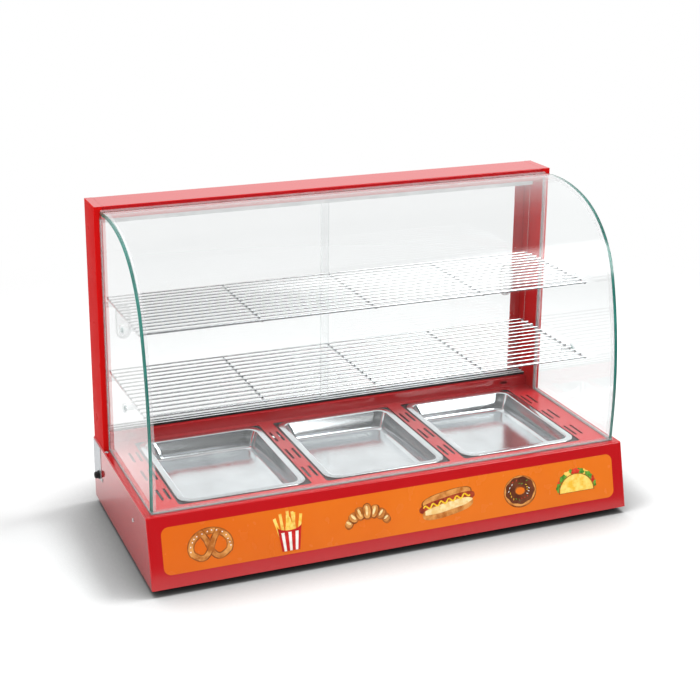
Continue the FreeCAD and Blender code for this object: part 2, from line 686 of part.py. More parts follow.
# --- curved glass ------------------------------------------------------------------------
def glass_radii():
    """Radii of the lower and crown arcs, solved so that the curve ends at the beam."""
    h0 = math.radians(90 + GLASS_LEAN)
    h1 = h0 - math.radians(LOWER_TURN)
    h2 = h1 - math.radians(SHOULDER_TURN)
    h3 = h2 - math.radians(CROWN_TURN)
    dy = Y_POST - Y_GLASS - FOOT_STRAIGHT * math.cos(h0)
    dz = Z_TOP - GLASS_DROP - Z_DECK - FOOT_STRAIGHT * math.sin(h0)
    dy -= SHOULDER_RADIUS * (math.sin(h1) - math.sin(h2))
    dz -= SHOULDER_RADIUS * (math.cos(h2) - math.cos(h1))
    a, b = math.sin(h0) - math.sin(h1), math.sin(h2) - math.sin(h3)
    c, d = math.cos(h1) - math.cos(h0), math.cos(h3) - math.cos(h2)
    det = a * d - b * c
    return (dy * d - b * dz) / det, (a * dz - c * dy) / det, (h0, h1, h2, h3)


def glass_curve(inset, x):
    """The glass profile as edges in the plane at x, inset from the outer face.

    It runs from below the deck to behind the beam face, to be trimmed to length.
    """
    lower, crown, headings = glass_radii()
    spare = 12.0
    h = headings[0]
    point = V(x, Y_GLASS + inset * math.sin(h), Z_DECK - inset * math.cos(h))
    ahead = V(0, math.cos(h), math.sin(h))
    start = point - ahead * spare
    point = point + ahead * FOOT_STRAIGHT
    edges = [Part.LineSegment(start, point).toShape()]
    turns = list(zip((lower, SHOULDER_RADIUS, crown), headings[:3], headings[1:]))
    for radius, h_in, h_out in turns:
        radius -= inset
        if h_out == headings[3]:
            h_out -= spare / radius
        centre = point + V(0, math.sin(h_in), -math.cos(h_in)) * radius

        def on_arc(h, centre=centre, radius=radius):
            return centre - V(0, math.sin(h), -math.cos(h)) * radius

        edges.append(Part.Arc(point, on_arc((h_in + h_out) / 2), on_arc(h_out)).toShape())
        point = on_arc(h_out)
    return edges, start, point


def glass_band(inset0, inset1, x0, x1):
    """A curved sheet between two insets and two planes, before it is trimmed."""
    outer, outer_start, outer_end = glass_curve(inset0, x0)
    inner, inner_start, inner_end = glass_curve(inset1, x0)
    edges = outer + [Part.LineSegment(outer_end, inner_end).toShape()]
    edges += inner[::-1] + [Part.LineSegment(inner_start, outer_start).toShape()]
    return Part.Face(Part.Wire(edges)).extrude(V(x1 - x0, 0, 0))


def trim(shape, z_low, y_high):
    """Keep what lies above a height and in front of a plane."""
    return shape.common(box(-HALF, HALF, Y_FRONT - 50, y_high, z_low, Z_TOP + 50))


def make_front_glass():
    """The curved front glass."""
    band = glass_band(0, GLASS, -X_FRONT_GLASS, X_FRONT_GLASS)
    return trim(band, Z_DECK + SEAL_BASE, Y_POST - FIT)


def glass_peg_places(side):
    """The two shelf pegs in a side glass."""
    for z in shelf_peg_heights():
        yield side * X_GLASS_IN, Y_POST - PEG_FRONT, z


def make_side_glass(side):
    """Flat side glass whose front edge follows the inside of the front glass."""
    x0 = side * X_GLASS_IN
    edges, start, end = glass_curve(GLASS + GLASS_JOINT, x0)
    corner = V(x0, end.y, start.z)
    edges += [Part.LineSegment(end, corner).toShape(), Part.LineSegment(corner, start).toShape()]
    plate = Part.Face(Part.Wire(edges)).extrude(V(side * GLASS, 0, 0))
    plate = trim(plate, Z_DECK + SEAL_BASE, Y_POST - SEAL_BASE)
    for x, y, z in glass_peg_places(side):
        plate = plate.cut(prism((x - side, y, z), (side, 0, 0), PEG_HOLE, GLASS + 2, PEG_FLATS))
    return plate


def make_bottom_seal_side(side):
    """Clear channel along the foot of a side glass."""
    out = X_GLASS_OUT + SEAL_WALL
    inn = X_GLASS_IN - SEAL_WALL
    y0 = Y_GLASS + GLASS + SEAL_SLACK + SEAL_WALL + FIT
    y1 = Y_POST - SEAL_BASE - FIT - 1
    channel = box(side * inn, side * out, y0, y1, Z_DECK, Z_DECK + SEAL_HEIGHT)
    groove = box(side * X_GLASS_IN, side * X_GLASS_OUT, y0 - 1, y1 + 1,
                 Z_DECK + SEAL_BASE, Z_DECK + SEAL_HEIGHT + 1)
    return channel.cut(groove)


def make_bottom_seal_front():
    """Clear channel along the foot of the front glass."""
    y0 = Y_GLASS - SEAL_SLACK - SEAL_WALL
    y1 = Y_GLASS + GLASS + SEAL_SLACK + SEAL_WALL
    x = X_FRONT_GLASS + SEAL_WALL
    channel = box(-x, x, y0, y1, Z_DECK, Z_DECK + SEAL_HEIGHT)
    for s in (-1, 1):
        channel = channel.cut(box(s * (X_GLASS_IN - FIT), s * (x + 1), y1 - SEAL_WALL, y1 + 1, Z_DECK - 1,
                                  Z_DECK + SEAL_HEIGHT + 1))
    return channel.cut(box(-X_FRONT_GLASS - 0.1, X_FRONT_GLASS + 0.1, y0 + SEAL_WALL, y1 - SEAL_WALL,
                           Z_DECK + SEAL_BASE, Z_DECK + SEAL_HEIGHT + 1))


def make_post_seal(side):
    """Clear channel down the back edge of a side glass, against the column."""
    out = X_GLASS_OUT + SEAL_WALL
    inn = X_GLASS_IN - SEAL_WALL
    y0 = Y_POST - POST_SEAL_WIDTH
    z0 = Z_DECK + SEAL_HEIGHT + FIT
    z1 = Z_TOP - GLASS_DROP - GLASS - GLASS_JOINT - SEAL_WALL - 4
    channel = box(side * inn, side * out, y0, Y_POST, z0, z1)
    return channel.cut(box(side * X_GLASS_IN, side * X_GLASS_OUT, y0 - 1, Y_POST - SEAL_BASE, z0 - 1, z1 + 1))


def make_corner_seal(side):
    """Clear bead along the inner corner between the front glass and a side glass."""
    x_face = side * X_GLASS_IN
    inset = GLASS + CORNER_SEAL_GAP
    strip = glass_band(inset, inset + CORNER_SEAL, x_face - side * CORNER_SEAL, x_face)
    return trim(strip, Z_DECK + SEAL_HEIGHT + FIT, Y_POST - POST_SEAL_WIDTH - FIT)


def make_top_bead():
    """Bead that seals the top edge of the front glass against the beam."""
    z = Z_TOP - GLASS_DROP
    fall = BEAD * math.tan(math.radians(CROWN_TURN + SHOULDER_TURN + LOWER_TURN - 90 - GLASS_LEAN))
    outline = [(Y_POST, z + 0.1), (Y_POST, z + BEAD * 0.8), (Y_POST - BEAD, z + fall + 0.3)]
    return extrude_yz(outline, -X_FRONT_GLASS, X_FRONT_GLASS)


# --- shelves -----------------------------------------------------------------------------
def make_shelf(height, depth, back):
    """Welded wire shelf: long wires on top, cross wires under them."""
    z = Z_DECK + height
    y1 = Y_POST + back
    y0 = y1 - depth
    wires = []
    for i in range(SHELF_WIRES):
        y = y0 + depth * i / (SHELF_WIRES - 1)
        radius = FRONT_WIRE / 2 if i == 0 else WIRE / 2
        wires.append(prism((-X_SHELF, y, z + WIRE / 2 - radius), (1, 0, 0), radius, 2 * X_SHELF, WIRE_SIDES))
    z_cross = z - WIRE / 2 - CROSS_WIRE / 2 + WELD
    reach = X_SHELF - CROSS_WIRE / 2
    for i in range(CROSS_WIRES):
        x = reach * (2 * i / (CROSS_WIRES - 1) - 1)
        wires.append(prism((x, y0, z_cross), (0, 1, 0), CROSS_WIRE / 2, depth, WIRE_SIDES))
    return fuse(wires)


def make_peg(x, y, z, side, wall, head):
    """Clear shelf peg: a barrel inside, a shank through the wall and, on glass, a head."""
    barrel = prism((x, y, z), (-side, 0, 0), PEG_RADIUS, PEG_REACH, PEG_FLATS)
    shank = prism((x, y, z), (side, 0, 0), PEG_SHANK, wall, PEG_FLATS)
    parts = [barrel, shank]
    if head:
        parts.append(prism((x + side * wall, y, z), (side, 0, 0), PEG_HEAD, PEG_HEAD_THICK, PEG_FLATS))
    return fuse(parts)


# --- inside the base and the beam ---------------------------------------------------------
def make_element(px):
    """Tubular heating element: a loop with cropped corners and two ends that turn down."""
    z = Z_BASE + ELEMENT_HEIGHT
    half = ELEMENT_LENGTH / 2
    leg = ELEMENT_LEG_PITCH / 2
    crop = ELEMENT_CORNER
    points = [(-leg, half, -ELEMENT_END), (-leg, half, 0), (-leg, crop - half, 0), (crop - leg, -half, 0),
              (leg - crop, -half, 0), (leg, crop - half, 0), (leg, half, 0), (leg, half, -ELEMENT_END)]
    path = Part.makePolygon([V(px + x, Y_PAN + y, z + up) for x, y, up in points])
    section = prism((px - leg, Y_PAN + half, z - ELEMENT_END), (0, 0, 1), ELEMENT_RADIUS, 1.0, ELEMENT_SIDES)
    outline = min(section.Faces, key=lambda f: f.CenterOfMass.z).OuterWire
    return path.makePipeShell([outline], True, False, 1)


def make_bracket(px, y):
    """Folded strip that stands on the shield and carries one element."""
    top = Z_BASE + ELEMENT_HEIGHT - ELEMENT_RADIUS
    foot = Z_BASE + 2 * SHEET + SHIELD_HEIGHT
    half = ELEMENT_LEG_PITCH / 2 + BRACKET_REACH
    end = half + BRACKET_FOOT
    outline = [(px - end, foot), (px - half + SHEET, foot), (px - half + SHEET, top - SHEET),
               (px + half - SHEET, top - SHEET), (px + half - SHEET, foot), (px + end, foot),
               (px + end, foot + SHEET), (px + half, foot + SHEET), (px + half, top),
               (px - half, top), (px - half, foot + SHEET), (px - end, foot + SHEET)]
    return extrude_xz(outline, y - BRACKET_WIDTH / 2, y + BRACKET_WIDTH / 2)


def make_shield():
    """Bright tray under the elements, standing on the bottom plate on folded flanges."""
    x = HALF - SHIELD_MARGIN
    foot = Z_BASE + 2 * SHEET
    top = foot + SHIELD_HEIGHT
    end = x + SHIELD_FLANGE
    outline = [(-end, foot), (-x + SHEET, foot), (-x + SHEET, top - SHEET), (x - SHEET, top - SHEET),
               (x - SHEET, foot), (end, foot), (end, foot + SHEET), (x, foot + SHEET),
               (x, top), (-x, top), (-x, foot + SHEET), (-end, foot + SHEET)]
    return extrude_xz(outline, Y_PAN - SHIELD_LENGTH / 2, Y_PAN + SHIELD_LENGTH / 2)


def make_lamp():
    """Lamp tube, its two end caps and the holders they plug into."""
    x = X_POST_IN - LAMP_FROM_COLUMN
    y = Y_POST + LAMP_SLOT_EDGE + LAMP_SLOT / 2
    z = Z_BEAM + BEAM_HEIGHT / 2
    x_tube = x - LAMP_CAP
    half = LAMP_HOLDER / 2
    tube = cylinder(-x_tube, y, z, LAMP_RADIUS, 2 * x_tube, (1, 0, 0))
    caps = [prism((s * x_tube, y, z), (s, 0, 0), LAMP_CAP_RADIUS, LAMP_CAP, LAMP_CAP_FLATS) for s in (-1, 1)]
    holders = [box(s * x, s * (x + LAMP_HOLDER), y - half, y + half, Z_BEAM + SHEET, Z_TOP - SHEET)
               for s in (-1, 1)]
    return tube, caps, holders


def make_lamp_lens():
    """Frosted strip that closes the lamp slot."""
    x = X_POST_IN - FIT - LAMP_SLOT_END - FIT
    y0 = Y_POST + LAMP_SLOT_EDGE
    return box(-x, x, y0 + FIT, y0 + LAMP_SLOT - FIT, Z_BEAM, Z_BEAM + SHEET)


def make_thermostat():
    """Thermostat body behind the rear panel, and the knob with its shaft."""
    y_body = Y_BACK - SHEET
    y_tabs = y_body - THERMOSTAT_DEPTH
    w = THERMOSTAT_WIDTH / 2
    h = THERMOSTAT_HEIGHT / 2
    body = box(KNOB_X - w, KNOB_X + w, y_tabs, y_body, Z_CONTROL - h, Z_CONTROL + h)
    neck = prism((KNOB_X, y_body, Z_CONTROL), (0, 1, 0), SHAFT_RADIUS + NECK_WALL, SHEET, 8)
    start = V(KNOB_X, y_body - SHAFT_SEAT - SHAFT_END_GAP, Z_CONTROL)
    length = SHAFT_SEAT + SHAFT_END_GAP + SHEET + 1
    bore = Part.makeCylinder(SHAFT_RADIUS + SHAFT_PLAY, length, start, V(0, 1, 0))
    tabs = []
    for s in (-1, 1):
        x = KNOB_X + s * TAB_PITCH / 2
        tabs.append(box(x - TAB_WIDTH / 2, x + TAB_WIDTH / 2, y_tabs - TAB_LENGTH, y_tabs,
                        Z_CONTROL - TAB_THICK / 2, Z_CONTROL + TAB_THICK / 2))
    body = fuse([body, neck] + tabs).cut(bore)
    y0 = Y_BACK + KNOB_GAP
    y_grip = y0 + SKIRT_DEPTH
    y1 = Y_BACK + KNOB_PROUD
    r_grip = KNOB_RADIUS - SKIRT_STEP
    skirt = prism((KNOB_X, y0, Z_CONTROL), (0, 1, 0), KNOB_RADIUS, SKIRT_DEPTH, 2 * KNOB_FLATS)
    grip = prism((KNOB_X, y_grip, Z_CONTROL), (0, 1, 0), r_grip, y1 - y_grip, KNOB_FLATS)
    half = POINTER_WIDTH / 2
    pointer = box(KNOB_X - half, KNOB_X + half, y_grip, y1 - POINTER_WIDTH / 4,
                  Z_CONTROL + r_grip - POINTER_WIDTH, Z_CONTROL + r_grip + POINTER_WIDTH)
    knob = fuse([skirt, grip, pointer])
    y_shaft = y_body - SHAFT_SEAT
    shaft = cylinder(KNOB_X, y_shaft, Z_CONTROL, SHAFT_RADIUS, y0 + SKIRT_DEPTH / 2 - y_shaft, (0, 1, 0))
    return body, knob.fuse(shaft).removeSplitter()


def make_switch(sx):
    """Rocker switch: housing with bezel, and the rocker tilted to its off side."""
    w = SWITCH_WIDTH / 2
    h = SWITCH_HEIGHT / 2
    housing = box(sx - w, sx + w, Y_BACK - SWITCH_DEPTH, Y_BACK, Z_CONTROL - h, Z_CONTROL + h)
    face = Y_BACK + BEZEL_PROUD
    bezel = box(sx - w - SWITCH_BEZEL, sx + w + SWITCH_BEZEL, Y_BACK, face,
                Z_CONTROL - h - SWITCH_BEZEL, Z_CONTROL + h + SWITCH_BEZEL)
    bezel = bezel.makeChamfer(BEZEL_EDGE, [e for e in bezel.Edges if e.CenterOfMass.y > face - 0.1])
    well_w = w - SWITCH_WALL
    well_h = h - SWITCH_WALL
    well = box(sx - well_w, sx + well_w, Y_BACK - SWITCH_WELL, face + 1,
               Z_CONTROL - well_h, Z_CONTROL + well_h)
    housing = fuse([housing, bezel]).cut(well)
    rw = well_w - FIT
    rh = well_h - ROCKER_PLAY
    outline = [(-4.0, -rh + 1.5), (-4.0, rh - 1.5), (2.0, rh), (1.0, 0.0), (2.0, -rh)]
    rocker = extrude_yz(outline, -rw, rw)
    turn = FreeCAD.Rotation(V(1, 0, 0), -SWITCH_TILT)
    rocker.Placement = FreeCAD.Placement(V(sx, Y_BACK, Z_CONTROL), turn)
    return housing, rocker


def make_indicator():
    """Round indicator light in the rear panel."""
    lens = prism((LAMP_LIGHT_X, Y_BACK, Z_CONTROL), (0, 1, 0), LENS_RADIUS, LENS_PROUD, LENS_FLATS)
    stem = prism((LAMP_LIGHT_X, Y_BACK, Z_CONTROL), (0, -1, 0), LENS_STEM, LENS_DEPTH, LENS_FLATS)
    return fuse([lens, stem])


def make_gland():
    """Cord gland in the left side: flange, collar and nut round a bore."""
    y = Y_BACK - GLAND_Y
    z = Z_BASE + GLAND_HEIGHT
    collar_length = GLAND_PROUD - GLAND_FLANGE
    flange = prism((-HALF, y, z), (-1, 0, 0), GLAND_RADIUS, GLAND_FLANGE, GLAND_FLATS)
    collar = prism((-HALF - GLAND_FLANGE, y, z), (-1, 0, 0), GLAND_COLLAR, collar_length, GLAND_FLATS)
    barrel = prism((-HALF, y, z), (1, 0, 0), GLAND_BARREL, GLAND_DEPTH, 8)
    nut = prism((-HALF + SHEET, y, z), (1, 0, 0), GLAND_NUT, GLAND_NUT_THICK, 6)
    body = fuse([flange, collar, barrel, nut])
    length = GLAND_PROUD + GLAND_DEPTH + 2
    return body.cut(prism((-HALF - GLAND_PROUD - 1, y, z), (1, 0, 0), GLAND_BORE, length, 8))


def make_terminal_block():
    """Five-way terminal block on the bottom plate, near the gland."""
    x0 = -HALF + BLOCK_PLACE
    y = Y_BACK - GLAND_Y - BLOCK_DEPTH / 2
    z0 = Z_BASE + 2 * SHEET
    z1 = z0 + BLOCK_HEIGHT
    length = BLOCK_WAYS * BLOCK_PITCH
    foot = box(x0, x0 + length, y - BLOCK_DEPTH / 2, y + BLOCK_DEPTH / 2, z0, z0 + BLOCK_HEIGHT / 2)
    ridge = BLOCK_WAY / 2 + BLOCK_WALL
    block = fuse([foot, box(x0, x0 + length, y - ridge, y + ridge, z0, z1)])
    half = BLOCK_WAY / 2
    for i in range(BLOCK_WAYS):
        x = x0 + BLOCK_PITCH * (i + 0.5)
        block = block.cut(box(x - half, x + half, y - half, y + half, z1 - BLOCK_WAY_DEPTH, z1 + 1))
    return block


# --- write every piece --------------------------------------------------------------------
def main():
    os.makedirs("parts", exist_ok=True)
    save("base_shell", make_base_shell())
    save("bottom_plate", make_bottom_plate())
    save("deck_plate", make_deck())
    save("rear_panel", make_rear_panel())
    save("feet", [make_foot(x, y) for x, y in foot_places()])
    save("foot_screws", [screw(x, y, Z_BASE + SHEET - 5, (0, 0, -1)) for x, y in foot_places()])
    panel_places = list(side_screw_places()) + list(rear_screw_places())
    save("panel_screws", [screw(*place) for place in panel_places])
    brackets = []
    for name, px in zip(PAN_NAMES, PAN_XS):
        save(name, make_pan(px))
        save(name.replace("pan", "pan_ledge"), make_ledge(px))
        save(name.replace("pan", "heating_element"), make_element(px))
        brackets += [make_bracket(px, Y_PAN + s * BRACKET_PLACE) for s in (-1, 1)]
    save("element_brackets", brackets)
    save("heat_shield", make_shield())
    glass_pegs = []
    column_pegs = []
    for name, side in SIDES:
        save("column_" + name, make_column(side))
        save("side_glass_" + name, make_side_glass(side))
        save("side_seal_" + name, make_bottom_seal_side(side))
        save("post_seal_" + name, make_post_seal(side))
        save("corner_seal_" + name, make_corner_seal(side))
        glass_pegs += [make_peg(x, y, z, side, GLASS, True) for x, y, z in glass_peg_places(side)]
        column_pegs += [make_peg(x, y, z, side, SHEET + PEG_TAIL, False)
                        for x, y, z in column_peg_places(side)]
    save("glass_pegs", glass_pegs)
    save("column_pegs", column_pegs)
    save("top_beam", make_beam())
    save("front_glass", make_front_glass())
    save("front_seal", make_bottom_seal_front())
    save("top_seal", make_top_bead())
    save("track_bottom", make_track(Z_SILL, TRACK_BOTTOM_HEIGHT, TRACK_FLOOR))
    save("track_top", make_track(Z_BEAM - TRACK_TOP_HEIGHT, TRACK_TOP_HEIGHT, -TRACK_FLOOR))
    for (name, side), y in zip(SIDES, Y_GROOVES[::-1]):
        glass, pull = make_door(side, y)
        save("door_" + name, glass)
        save("door_pull_" + name, pull)
    save("shelf_lower", make_shelf(LOWER_SHELF_HEIGHT, LOWER_SHELF_DEPTH, LOWER_SHELF_BACK))
    save("shelf_upper", make_shelf(UPPER_SHELF_HEIGHT, UPPER_SHELF_DEPTH, UPPER_SHELF_BACK))
    tube, caps, holders = make_lamp()
    save("lamp_tube", tube)
    save("lamp_holders", caps + holders)
    save("lamp_lens", make_lamp_lens())
    body, knob = make_thermostat()
    save("thermostat", body)
    save("thermostat_knob", knob)
    for name, sx in zip(("power", "light"), SWITCH_X):
        housing, rocker = make_switch(sx)
        save("switch_" + name, housing)
        save("rocker_" + name, rocker)
    save("indicator_light", make_indicator())
    save("cable_gland", make_gland())
    save("terminal_block", make_terminal_block())


main()
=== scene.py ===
"""Looks of a counter-top heated food display case.

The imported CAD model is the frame. Each class below dresses one sub-assembly: it gives CAD nodes
a finish, and replaces those whose real shape is rounder or finer than the CAD solid. Sizes are
in metres unless a name ends in _mm.
"""
import logging
import math
from dataclasses import dataclass, field
from enum import Enum
from typing import Callable, Iterable, Sequence

import bmesh
import bpy
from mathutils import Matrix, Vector


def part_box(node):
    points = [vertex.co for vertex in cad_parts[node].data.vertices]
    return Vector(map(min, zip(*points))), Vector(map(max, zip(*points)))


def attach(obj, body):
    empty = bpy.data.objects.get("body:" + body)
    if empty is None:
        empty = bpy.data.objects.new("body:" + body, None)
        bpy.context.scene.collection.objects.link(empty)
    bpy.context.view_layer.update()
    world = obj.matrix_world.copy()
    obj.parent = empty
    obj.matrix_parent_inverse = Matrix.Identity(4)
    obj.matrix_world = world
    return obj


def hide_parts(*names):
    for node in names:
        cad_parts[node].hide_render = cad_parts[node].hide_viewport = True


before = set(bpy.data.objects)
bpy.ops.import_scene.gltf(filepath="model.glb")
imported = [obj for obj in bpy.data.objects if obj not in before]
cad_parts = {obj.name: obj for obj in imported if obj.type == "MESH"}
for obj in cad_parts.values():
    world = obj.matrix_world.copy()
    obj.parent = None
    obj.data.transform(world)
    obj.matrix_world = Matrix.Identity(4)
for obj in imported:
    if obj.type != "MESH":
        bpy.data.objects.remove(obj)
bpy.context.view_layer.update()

LOG = logging.getLogger("display_case")
MM = 0.001
Point2 = tuple[float, float]
Colour = tuple[float, float, float, float]


# --- small tools -------------------------------------------------------------------------
def srgb(red: int, green: int, blue: int) -> Colour:
    """Turn an 8-bit display colour into a linear one.

    Args:
        red: Red, 0 to 255.
        green: Green, 0 to 255.
        blue: Blue, 0 to 255.

    Returns:
        Linear red, green, blue and an alpha of 1.
    """
    def linear(value: int) -> float:
        share = value / 255
        return share / 12.92 if share <= 0.04045 else ((share + 0.055) / 1.055) ** 2.4
    return linear(red), linear(green), linear(blue), 1.0


def shade(colour: Colour, factor: float) -> Colour:
    """Make a colour lighter or darker by a factor."""
    return tuple(min(1.0, c * factor) for c in colour[:3]) + (1.0,)


class Graph:
    """A node tree with short calls that add and join nodes."""

    def __init__(self, tree: bpy.types.NodeTree) -> None:
        """Keep the tree.

        Args:
            tree: The shader or geometry tree to build in.
        """
        self.tree = tree

    def add(self, kind: str, inputs: dict[str | int, object] | None = None,
            **settings: object) -> bpy.types.Node:
        """Add one node.

        Args:
            kind: The node's type name.
            inputs: Socket name or number, and either a value or the socket that feeds it.
            settings: Properties of the node itself.

        Returns:
            The new node.
        """
        node = self.tree.nodes.new(kind)
        for key, value in settings.items():
            setattr(node, key, value)
        for key, value in (inputs or {}).items():
            if isinstance(value, bpy.types.NodeSocket):
                self.tree.links.new(value, node.inputs[key])
            else:
                node.inputs[key].default_value = value
        return node

    def noise(self, scale: float, detail: float = 3.0, stretch: Sequence[float] = (1, 1, 1)) -> bpy.types.NodeSocket:
        """Noise on Object coordinates.

        Args:
            scale: Features per metre.
            detail: Octaves.
            stretch: Scale along X, Y and Z.

        Returns:
            The noise value socket.
        """
        place = self.add("ShaderNodeTexCoord").outputs["Object"]
        mapped = self.add("ShaderNodeMapping", {"Vector": place, "Scale": tuple(stretch)})
        noise = self.add("ShaderNodeTexNoise", {"Vector": mapped.outputs[0], "Scale": scale, "Detail": detail})
        return noise.outputs["Fac"]

    def ramp(self, value: bpy.types.NodeSocket, stops: Sequence[tuple[float, Colour]]) -> bpy.types.NodeSocket:
        """A colour ramp.

        Args:
            value: What runs along the ramp.
            stops: Positions and their colours, in order.

        Returns:
            The colour socket.
        """
        node = self.add("ShaderNodeValToRGB", {"Fac": value})
        elements = node.color_ramp.elements
        while len(elements) < len(stops):
            elements.new(0.5)
        for element, (position, colour) in zip(elements, stops):
            element.position = position
            element.color = colour
        return node.outputs["Color"]

    def spread(self, value: bpy.types.NodeSocket, low: float, high: float) -> bpy.types.NodeSocket:
        """Stretch a noise value to a range.

        Args:
            value: A noise value, mostly between 0.3 and 0.7.
            low: Result at 0.3.
            high: Result at 0.7.

        Returns:
            The ranged socket.
        """
        node = self.add("ShaderNodeMapRange", {"Value": value, "From Min": 0.3, "From Max": 0.7,
                                               "To Min": low, "To Max": high})
        return node.outputs["Result"]

    def mirrored_ray(self) -> bpy.types.NodeSocket:
        """1 for rays that a glossy surface sends back, 0 for those that glass lets through."""
        path = self.add("ShaderNodeLightPath").outputs
        through = self.add("ShaderNodeMath", {0: 1.0, 1: path["Is Transmission Ray"]}, operation="SUBTRACT")
        return self.add("ShaderNodeMath", {0: path["Is Glossy Ray"], 1: through.outputs[0]},
                        operation="MULTIPLY").outputs[0]

    def bump(self, height: bpy.types.NodeSocket, strength: float, distance: float) -> bpy.types.NodeSocket:
        """A bump normal.

        Args:
            height: Height value.
            strength: Share of the bump that shows.
            distance: Depth in metres.

        Returns:
            The normal socket.
        """
        node = self.add("ShaderNodeBump", {"Height": height, "Strength": strength, "Distance": distance})
        return node.outputs["Normal"]


def shader(name: str, build: Callable[[Graph], bpy.types.NodeSocket]) -> bpy.types.Material:
    """Make a material, or give back the one already made.

    Args:
        name: The material's name.
        build: Adds the nodes and returns the surface socket.

    Returns:
        The material.
    """
    found = bpy.data.materials.get(name)
    if found is not None and found.get("dressed"):
        return found
    material = bpy.data.materials.new(name)
    material["dressed"] = True
    material.use_nodes = True
    material.node_tree.nodes.clear()
    graph = Graph(material.node_tree)
    surface = build(graph)
    graph.add("ShaderNodeOutputMaterial", {"Surface": surface})
    return material


# --- finishes ----------------------------------------------------------------------------
@dataclass(frozen=True)
class Enamel:
    """Glossy stoved enamel on sheet steel, with a faint orange peel, and a dark grey for bounced rays that paints
    darker, greyer shade onto what faces it, such as the floor beside the base.
    """

    name: str
    colour: Colour
    gloss: float = 0.2
    coat: float = 0.6
    specular: float = 0.5

    def material(self) -> bpy.types.Material:
        """The enamel's material."""
        def build(g: Graph) -> bpy.types.NodeSocket:
            seen = g.ramp(g.noise(7.0, 4.0), [(0.3, shade(self.colour, 0.97)), (0.7, shade(self.colour, 1.02))])
            # Painted shade: rays bounced off other surfaces see dark grey here instead of the red, so the floor's shade
            # beside the base comes out darker and grey.
            bounce = g.add("ShaderNodeLightPath").outputs["Is Diffuse Ray"]
            colour = g.add("ShaderNodeMix", {0: bounce, 6: seen, 7: srgb(96, 84, 84)}, data_type="RGBA").outputs[2]
            rough = g.spread(g.noise(26.0, 5.0), self.gloss * 0.85, self.gloss * 1.2)
            normal = g.bump(g.noise(420.0, 2.0), 0.02, 0.0001)
            return g.add("ShaderNodeBsdfPrincipled", {
                "Base Color": colour, "Roughness": rough, "Normal": normal, "Coat Weight": self.coat,
                "Coat Roughness": 0.06, "Specular IOR Level": self.specular}).outputs[0]
        return shader(self.name, build)


@dataclass(frozen=True)
class Steel:
    """Sheet, drawn or drawn-wire steel: the grain runs along the longest stretch."""

    name: str
    colour: Colour
    rough: float
    grain: tuple[float, float, float] = (1.0, 1.0, 1.0)
    grain_scale: float = 300.0
    grain_depth: float = 0.08

    def material(self) -> bpy.types.Material:
        """The steel's material."""
        def build(g: Graph) -> bpy.types.NodeSocket:
            cloud = g.noise(11.0, 4.0)
            colour = g.ramp(cloud, [(0.3, shade(self.colour, 0.9)), (0.7, shade(self.colour, 1.06))])
            grain = g.noise(self.grain_scale, 3.0, self.grain)
            rough = g.spread(grain, self.rough * 0.75, self.rough * 1.3)
            normal = g.bump(grain, self.grain_depth, 0.0001)
            return g.add("ShaderNodeBsdfPrincipled", {
                "Base Color": colour, "Metallic": 1.0, "Roughness": rough, "Normal": normal}).outputs[0]
        return shader(self.name, build)


@dataclass(frozen=True)
class Wire:
    """Bright plated wire, with a painted highlight along its top and painted shade along its underside."""

    name: str
    light: Colour
    dark: Colour
    rough: float

    def material(self) -> bpy.types.Material:
        """The wire's material."""
        def build(g: Graph) -> bpy.types.NodeSocket:
            # Painted light: each face's colour runs from the painted shade colour where the face looks down to the
            # painted highlight colour where it looks up.
            normal = g.add("ShaderNodeTexCoord").outputs["Normal"]
            height = g.add("ShaderNodeSeparateXYZ", {0: normal}).outputs[2]
            speck = g.spread(g.noise(240.0, 3.0), -0.06, 0.06)
            level = g.add("ShaderNodeMath", {0: height, 1: speck}, operation="ADD").outputs[0]
            share = g.add("ShaderNodeMapRange", {"Value": level, "From Min": -1.0, "From Max": 1.0}).outputs[0]
            colour = g.ramp(share, [(0.3, self.dark), (0.62, self.light)])
            rough = g.spread(g.noise(160.0, 2.0), self.rough * 0.8, self.rough * 1.25)
            return g.add("ShaderNodeBsdfPrincipled", {
                "Base Color": colour, "Metallic": 1.0, "Roughness": rough}).outputs[0]
        return shader(self.name, build)


@dataclass(frozen=True)
class Moulding:
    """Moulded plastic or rubber with a fine spark texture."""

    name: str
    colour: Colour
    rough: float
    texture: float = 1400.0
    depth: float = 0.15

    def material(self) -> bpy.types.Material:
        """The moulding's material."""
        def build(g: Graph) -> bpy.types.NodeSocket:
            colour = g.ramp(g.noise(45.0, 4.0), [(0.3, shade(self.colour, 0.85)), (0.7, shade(self.colour, 1.15))])
            rough = g.spread(g.noise(80.0, 3.0), self.rough * 0.85, self.rough * 1.15)
            normal = g.bump(g.noise(self.texture, 2.0), self.depth, 0.0001)
            return g.add("ShaderNodeBsdfPrincipled", {
                "Base Color": colour, "Roughness": rough, "Normal": normal}).outputs[0]
        return shader(self.name, build)


@dataclass(frozen=True)
class Pane:
    """Float glass that lamps shine through."""

    name: str
    tint: Colour
    smear: float = 0.02

    def material(self) -> bpy.types.Material:
        """The pane's material."""
        def build(g: Graph) -> bpy.types.NodeSocket:
            tint = g.ramp(g.noise(5.0, 3.0), [(0.3, shade(self.tint, 0.985)), (0.7, self.tint)])
            rough = g.spread(g.noise(9.0, 5.0), 0.0, self.smear)
            glass = g.add("ShaderNodeBsdfPrincipled", {
                "Base Color": tint, "Roughness": rough, "Transmission Weight": 1.0, "IOR": 1.5})
            clear = g.add("ShaderNodeBsdfTransparent", {"Color": self.tint})
            path = g.add("ShaderNodeLightPath").outputs
            soft = g.add("ShaderNodeMath", {0: path["Is Shadow Ray"], 1: path["Is Diffuse Ray"]}, operation="MAXIMUM")
            mirrored = g.mirrored_ray()
            plain = g.add("ShaderNodeMath", {0: soft.outputs[0], 1: mirrored}, operation="MAXIMUM").outputs[0]
            return g.add("ShaderNodeMixShader", {
                0: plain, 1: glass.outputs[0], 2: clear.outputs[0]}).outputs[0]
        return shader(self.name, build)


